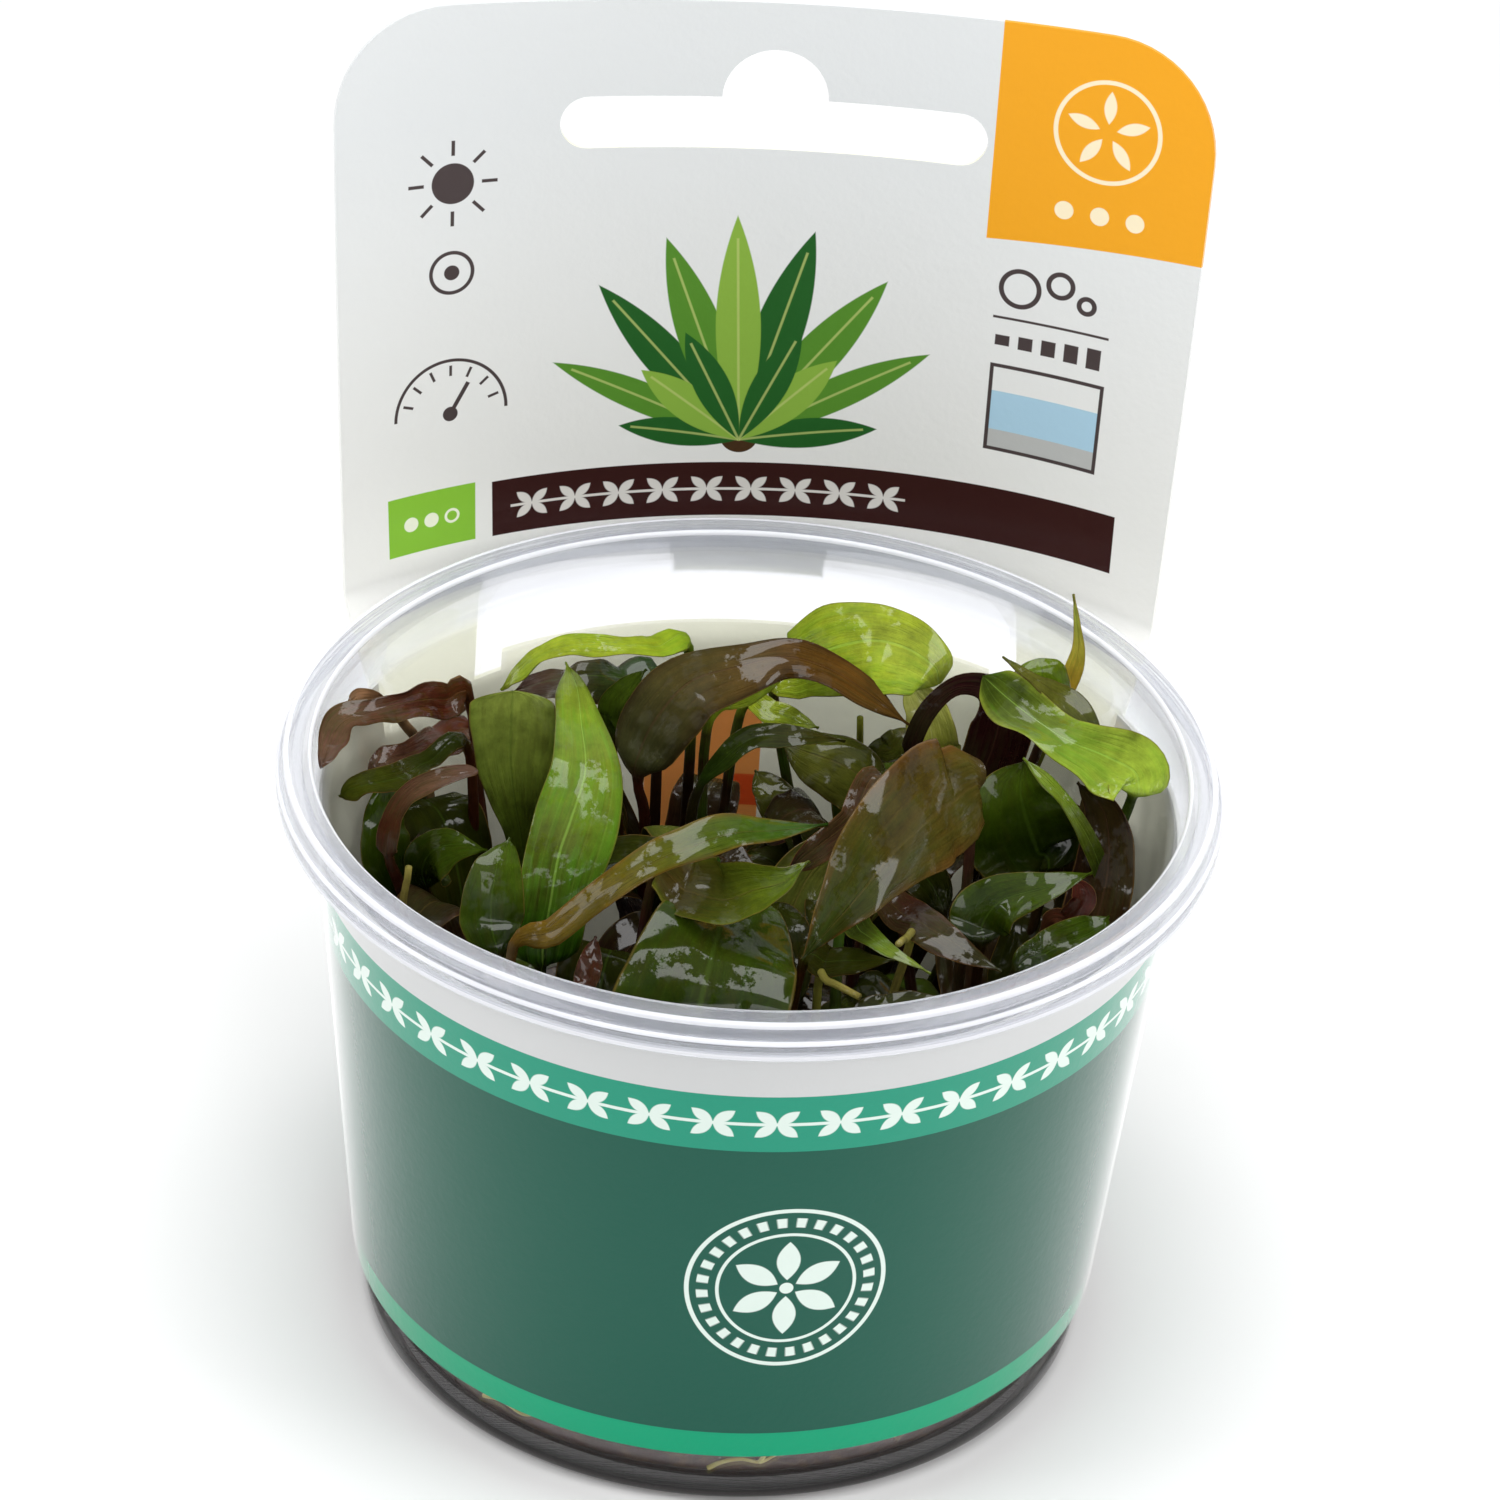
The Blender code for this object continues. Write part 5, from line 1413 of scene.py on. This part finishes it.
def make_thread(name, path):
    """A fine root: a tube along a smooth path, which thins towards its end."""
    points = [Vector(p) for p in path]
    centres = [smooth_point(points, (len(points) - 1) * i / THREAD_RINGS)
               for i in range(THREAD_RINGS + 1)]
    sections = []
    for i, centre in enumerate(centres):
        tangent = (centres[min(i + 1, THREAD_RINGS)] - centres[max(i - 1, 0)]).normalized()
        side = tangent.cross(Vector((0, 0, 1))).normalized()
        up = side.cross(tangent)
        size = THREAD_RADIUS * (1 - THREAD_TAPER * i / THREAD_RINGS)
        turns = [2 * pi * k / THREAD_AROUND for k in range(THREAD_AROUND)]
        sections.append([centre + side * size * cos(turn) + up * size * sin(turn)
                         for turn in turns])
    piece, _, _ = grid_piece(name, THREAD_AROUND, THREAD_RINGS,
                             lambda i, j: sections[j][i % THREAD_AROUND] * MM)
    sew()
    return piece


def wall_path(spots, wall):
    """Points on the gel's side from (azimuth in degrees, height) pairs."""
    path = []
    for azimuth, z in spots:
        r = wall_radius(z) - wall - GAP + THREAD_PROUD
        path.append((r * cos(radians(azimuth)), r * sin(radians(azimuth)), z))
    return path


# Fine roots seen against the cup's wall: azimuth and height of each point, front is -90
WALL_ROOTS = (
    ((-92, 3.2), (-90, 4.0), (-87, 4.4), (-84, 4.0), (-82, 4.6), (-80, 5.4)),
    ((-84, 4.0), (-83, 5.0), (-81, 5.6)),
    ((-62, 4.6), (-60, 5.4), (-57, 5.6), (-55, 5.0), (-52, 5.8)),
    ((-60, 5.4), (-58, 6.6), (-56, 7.4)),
    ((-131, 4.0), (-127, 4.6), (-123, 4.2), (-120, 5.2)),
    ((20, 4.4), (26, 5.2), (31, 4.8), (37, 5.8)),
    ((95, 3.8), (101, 4.8), (108, 4.4), (114, 5.6)),
    ((176, 4.2), (182, 5.0), (189, 4.6), (195, 5.6)),
)


class CupSettings(bpy.types.PropertyGroup):
    """The clear cup and its gel."""
    wall: bpy.props.FloatProperty(name="Wall", description="Thickness of the cup's wall",
                                  default=0.0008, unit="LENGTH")
    wall_tint: bpy.props.FloatVectorProperty(name="Wall tint", description="Tint of the clear wall",
                                             default=(0.97, 0.97, 0.985), subtype="COLOR")
    rim_tint: bpy.props.FloatVectorProperty(name="Rim tint", description="Tint of the rim",
                                            default=(0.88, 0.91, 0.98), subtype="COLOR")
    gel_dark: bpy.props.FloatVectorProperty(name="Gel", description="Dark of the gel",
                                            default=srgb(38, 24, 22), subtype="COLOR")
    gel_light: bpy.props.FloatVectorProperty(name="Gel cloud", description="Clouds in the gel",
                                             default=srgb(85, 66, 62), subtype="COLOR")


class PrintSettings(bpy.types.PropertyGroup):
    """The colours printed on the sleeve."""
    dark_green: bpy.props.FloatVectorProperty(name="Dark green", description="Broad band",
                                              default=srgb(22, 88, 72), subtype="COLOR")
    band_green: bpy.props.FloatVectorProperty(name="Band green", description="Upper band",
                                              default=srgb(36, 150, 122), subtype="COLOR")
    edge_green: bpy.props.FloatVectorProperty(name="Edge green", description="Lower stripe",
                                              default=srgb(0, 160, 116), subtype="COLOR")
    orange: bpy.props.FloatVectorProperty(name="Orange", description="The tag's corner",
                                          default=srgb(246, 170, 35), subtype="COLOR")
    bar: bpy.props.FloatVectorProperty(name="Bar", description="The tag's dark bar",
                                       default=srgb(56, 28, 26), subtype="COLOR")
    lime: bpy.props.FloatVectorProperty(name="Lime", description="The tag's small patch",
                                        default=srgb(140, 198, 62), subtype="COLOR")


class StageSettings(bpy.types.PropertyGroup):
    """The floor, lights and camera."""
    floor_tone: bpy.props.FloatVectorProperty(name="Floor", description="Tone of the floor",
                                              default=(0.93, 0.93, 0.93), subtype="COLOR")
    sky: bpy.props.FloatProperty(name="Sky", description="Strength of the even light around",
                                 default=0.4, min=0.0)
    top_power: bpy.props.FloatProperty(name="Top light", description="Power of the top soft box",
                                       default=4.6, unit="POWER", min=0.0)
    side_power: bpy.props.FloatProperty(name="Side lights", description="Power of each side light",
                                        default=1.3, unit="POWER", min=0.0)
    lens: bpy.props.FloatProperty(name="Lens", description="Focal length in millimetres",
                                  default=CAMERA_LENS, min=1.0)


class PlantCupSettings(bpy.types.PropertyGroup):
    """All settings of the plant cup."""
    cup: bpy.props.PointerProperty(type=CupSettings)
    printing: bpy.props.PointerProperty(type=PrintSettings)
    stage: bpy.props.PointerProperty(type=StageSettings)


class PLANTCUP_OT_cup(bpy.types.Operator):
    """Makes the clear moulded cup"""
    bl_idname = "plantcup.cup"
    bl_label = "Clear cup"

    def execute(self, context):
        settings = context.scene.plant_cup.cup
        piece = turned("moulded_cup", cup_outline(settings.wall / MM), CUP_STEPS)
        place_piece(piece, plastic_finish(settings), "clear_cup", "cup")
        return {"FINISHED"}


class PLANTCUP_OT_gel(bpy.types.Operator):
    """Makes the set gel and the fine roots against the cup's wall"""
    bl_idname = "plantcup.gel"
    bl_label = "Gel and roots"

    def execute(self, context):
        settings = context.scene.plant_cup.cup
        piece = turned("set_gel", gel_outline(settings.wall / MM), GEL_STEPS)
        place_piece(piece, gel_finish(settings), "growing_gel", "culture_gel")
        finish = root_finish()
        for i, spots in enumerate(WALL_ROOTS):
            thread = make_thread(f"root_{i + 1}", wall_path(spots, settings.wall / MM))
            place_piece(thread, finish, "crown")
        return {"FINISHED"}


class PLANTCUP_OT_sleeve(bpy.types.Operator):
    """Makes the printed sleeve with its hang tag"""
    bl_idname = "plantcup.sleeve"
    bl_label = "Printed sleeve"

    def execute(self, context):
        piece = make_sleeve_sheet()
        mark_sides(piece)
        place_piece(piece, sleeve_finish(context.scene.plant_cup.printing), "printed_sheet",
                    "label_sleeve")
        return {"FINISHED"}


class PLANTCUP_OT_crowns(bpy.types.Operator):
    """Makes the rhizome stubs that the leaves grow round"""
    bl_idname = "plantcup.crowns"
    bl_label = "Rhizomes"

    def execute(self, context):
        finish = crown_finish()
        for name, place in CROWNS.items():
            place_piece(make_crown(name, place), finish, "crown", "crown_" + name)
        return {"FINISHED"}


class PLANTCUP_OT_leaves(bpy.types.Operator):
    """Makes every leaf with its stalk"""
    bl_idname = "plantcup.leaves"
    bl_label = "Leaves"

    def execute(self, context):
        finishes = {slot: leaf_finish(slot, *recipe) for slot, recipe in LEAF_FINISHES.items()}
        for crown in CROWNS:
            roots = stalk_roots(crown)
            pieces = [(leaf, roots[leaf.name], "leaf_" + leaf.name)
                      for leaf in LEAVES if leaf.crown == crown]
            cx, cy = CROWNS[crown]
            for leaf in FILLERS:
                if leaf.crown == crown:
                    way = atan2(leaf.spine[0][1] - cy, leaf.spine[0][0] - cx)
                    pieces.append((leaf, crown_edge(crown, way)))
            pieces += [young_leaf(crown, i) for i in range(YOUNG_LEAVES)]
            if crown in FAN_CROWNS:
                pieces += [young_leaf(crown, YOUNG_LEAVES + i, True) for i in range(FAN_LEAVES)]
            for leaf, root, *nodes in pieces:
                slot = LOOKS[leaf.look].slot
                place_piece(make_leaf(leaf, root), finishes[slot], slot, *nodes)
        return {"FINISHED"}


class PLANTCUP_OT_stage(bpy.types.Operator):
    """Makes the pale floor, the soft lights and the camera"""
    bl_idname = "plantcup.stage"
    bl_label = "Stage"

    def execute(self, context):
        settings = context.scene.plant_cup.stage
        clear_selection()
        bpy.ops.mesh.primitive_plane_add(size=FLOOR_SIZE)
        floor = begin("floor")
        finish = Finish("pale_floor", roughness=0.7)
        shade = finish.noise(3.0, 1.0) * 0.02
        finish.plug("Base Color", finish.mix(shade, tuple(settings.floor_tone), (1.0, 1.0, 1.0)))
        floor.data.materials.append(finish.material)
        world = bpy.data.worlds.new("studio")
        world.use_nodes = True
        sky = world.node_tree.nodes["Background"].inputs
        sky["Color"].default_value = (1.0, 1.0, 1.0, 1.0)
        sky["Strength"].default_value = settings.sky
        context.scene.world = world
        for name, place, size in LIGHTS:
            bpy.ops.object.light_add(type="AREA", location=place)
            light = bpy.context.object
            light.name = name
            light.data.size = size
            light.data.energy = settings.top_power if name == "top_light" else settings.side_power
            way = Vector(LIGHT_AIM) - Vector(place)
            light.rotation_euler = way.to_track_quat("-Z", "Y").to_euler()
        turn = (Matrix.Rotation(radians(-CAMERA_YAW), 3, "Z")
                @ Matrix.Rotation(radians(90 - CAMERA_PITCH), 3, "X")
                @ Matrix.Rotation(radians(CAMERA_ROLL), 3, "Z"))
        bpy.ops.object.camera_add(location=CAMERA_PLACE, rotation=turn.to_euler())
        camera = bpy.context.object
        camera.data.sensor_width = CAMERA_SENSOR
        camera.data.lens = settings.lens
        camera.data.clip_start = CAMERA_NEAR
        context.scene.camera = camera
        context.scene.view_settings.view_transform = "Standard"
        return {"FINISHED"}


STEPS = (PLANTCUP_OT_cup, PLANTCUP_OT_gel, PLANTCUP_OT_sleeve, PLANTCUP_OT_crowns,
         PLANTCUP_OT_leaves, PLANTCUP_OT_stage)


class PLANTCUP_PT_panel(bpy.types.Panel):
    """The plant cup's steps and settings"""
    bl_idname = "PLANTCUP_PT_panel"
    bl_label = "Plant cup"
    bl_space_type = "VIEW_3D"
    bl_region_type = "UI"
    bl_category = "Plant cup"

    def draw(self, context):
        for step in STEPS:
            self.layout.operator(step.bl_idname)
        for group in (context.scene.plant_cup.cup, context.scene.plant_cup.printing,
                      context.scene.plant_cup.stage):
            box = self.layout.box()
            for name in group.__annotations__:
                box.prop(group, name)


CLASSES = (CupSettings, PrintSettings, StageSettings, PlantCupSettings, *STEPS, PLANTCUP_PT_panel)


def register():
    for item in CLASSES:
        bpy.utils.register_class(item)
    bpy.types.Scene.plant_cup = bpy.props.PointerProperty(type=PlantCupSettings)


def unregister():
    del bpy.types.Scene.plant_cup
    for item in reversed(CLASSES):
        bpy.utils.unregister_class(item)


def main():
    register()
    bpy.ops.plantcup.stage()
    bpy.ops.plantcup.cup()
    bpy.ops.plantcup.gel()
    bpy.ops.plantcup.sleeve()
    bpy.ops.plantcup.crowns()
    bpy.ops.plantcup.leaves()


if __name__ == "__main__":
    main()
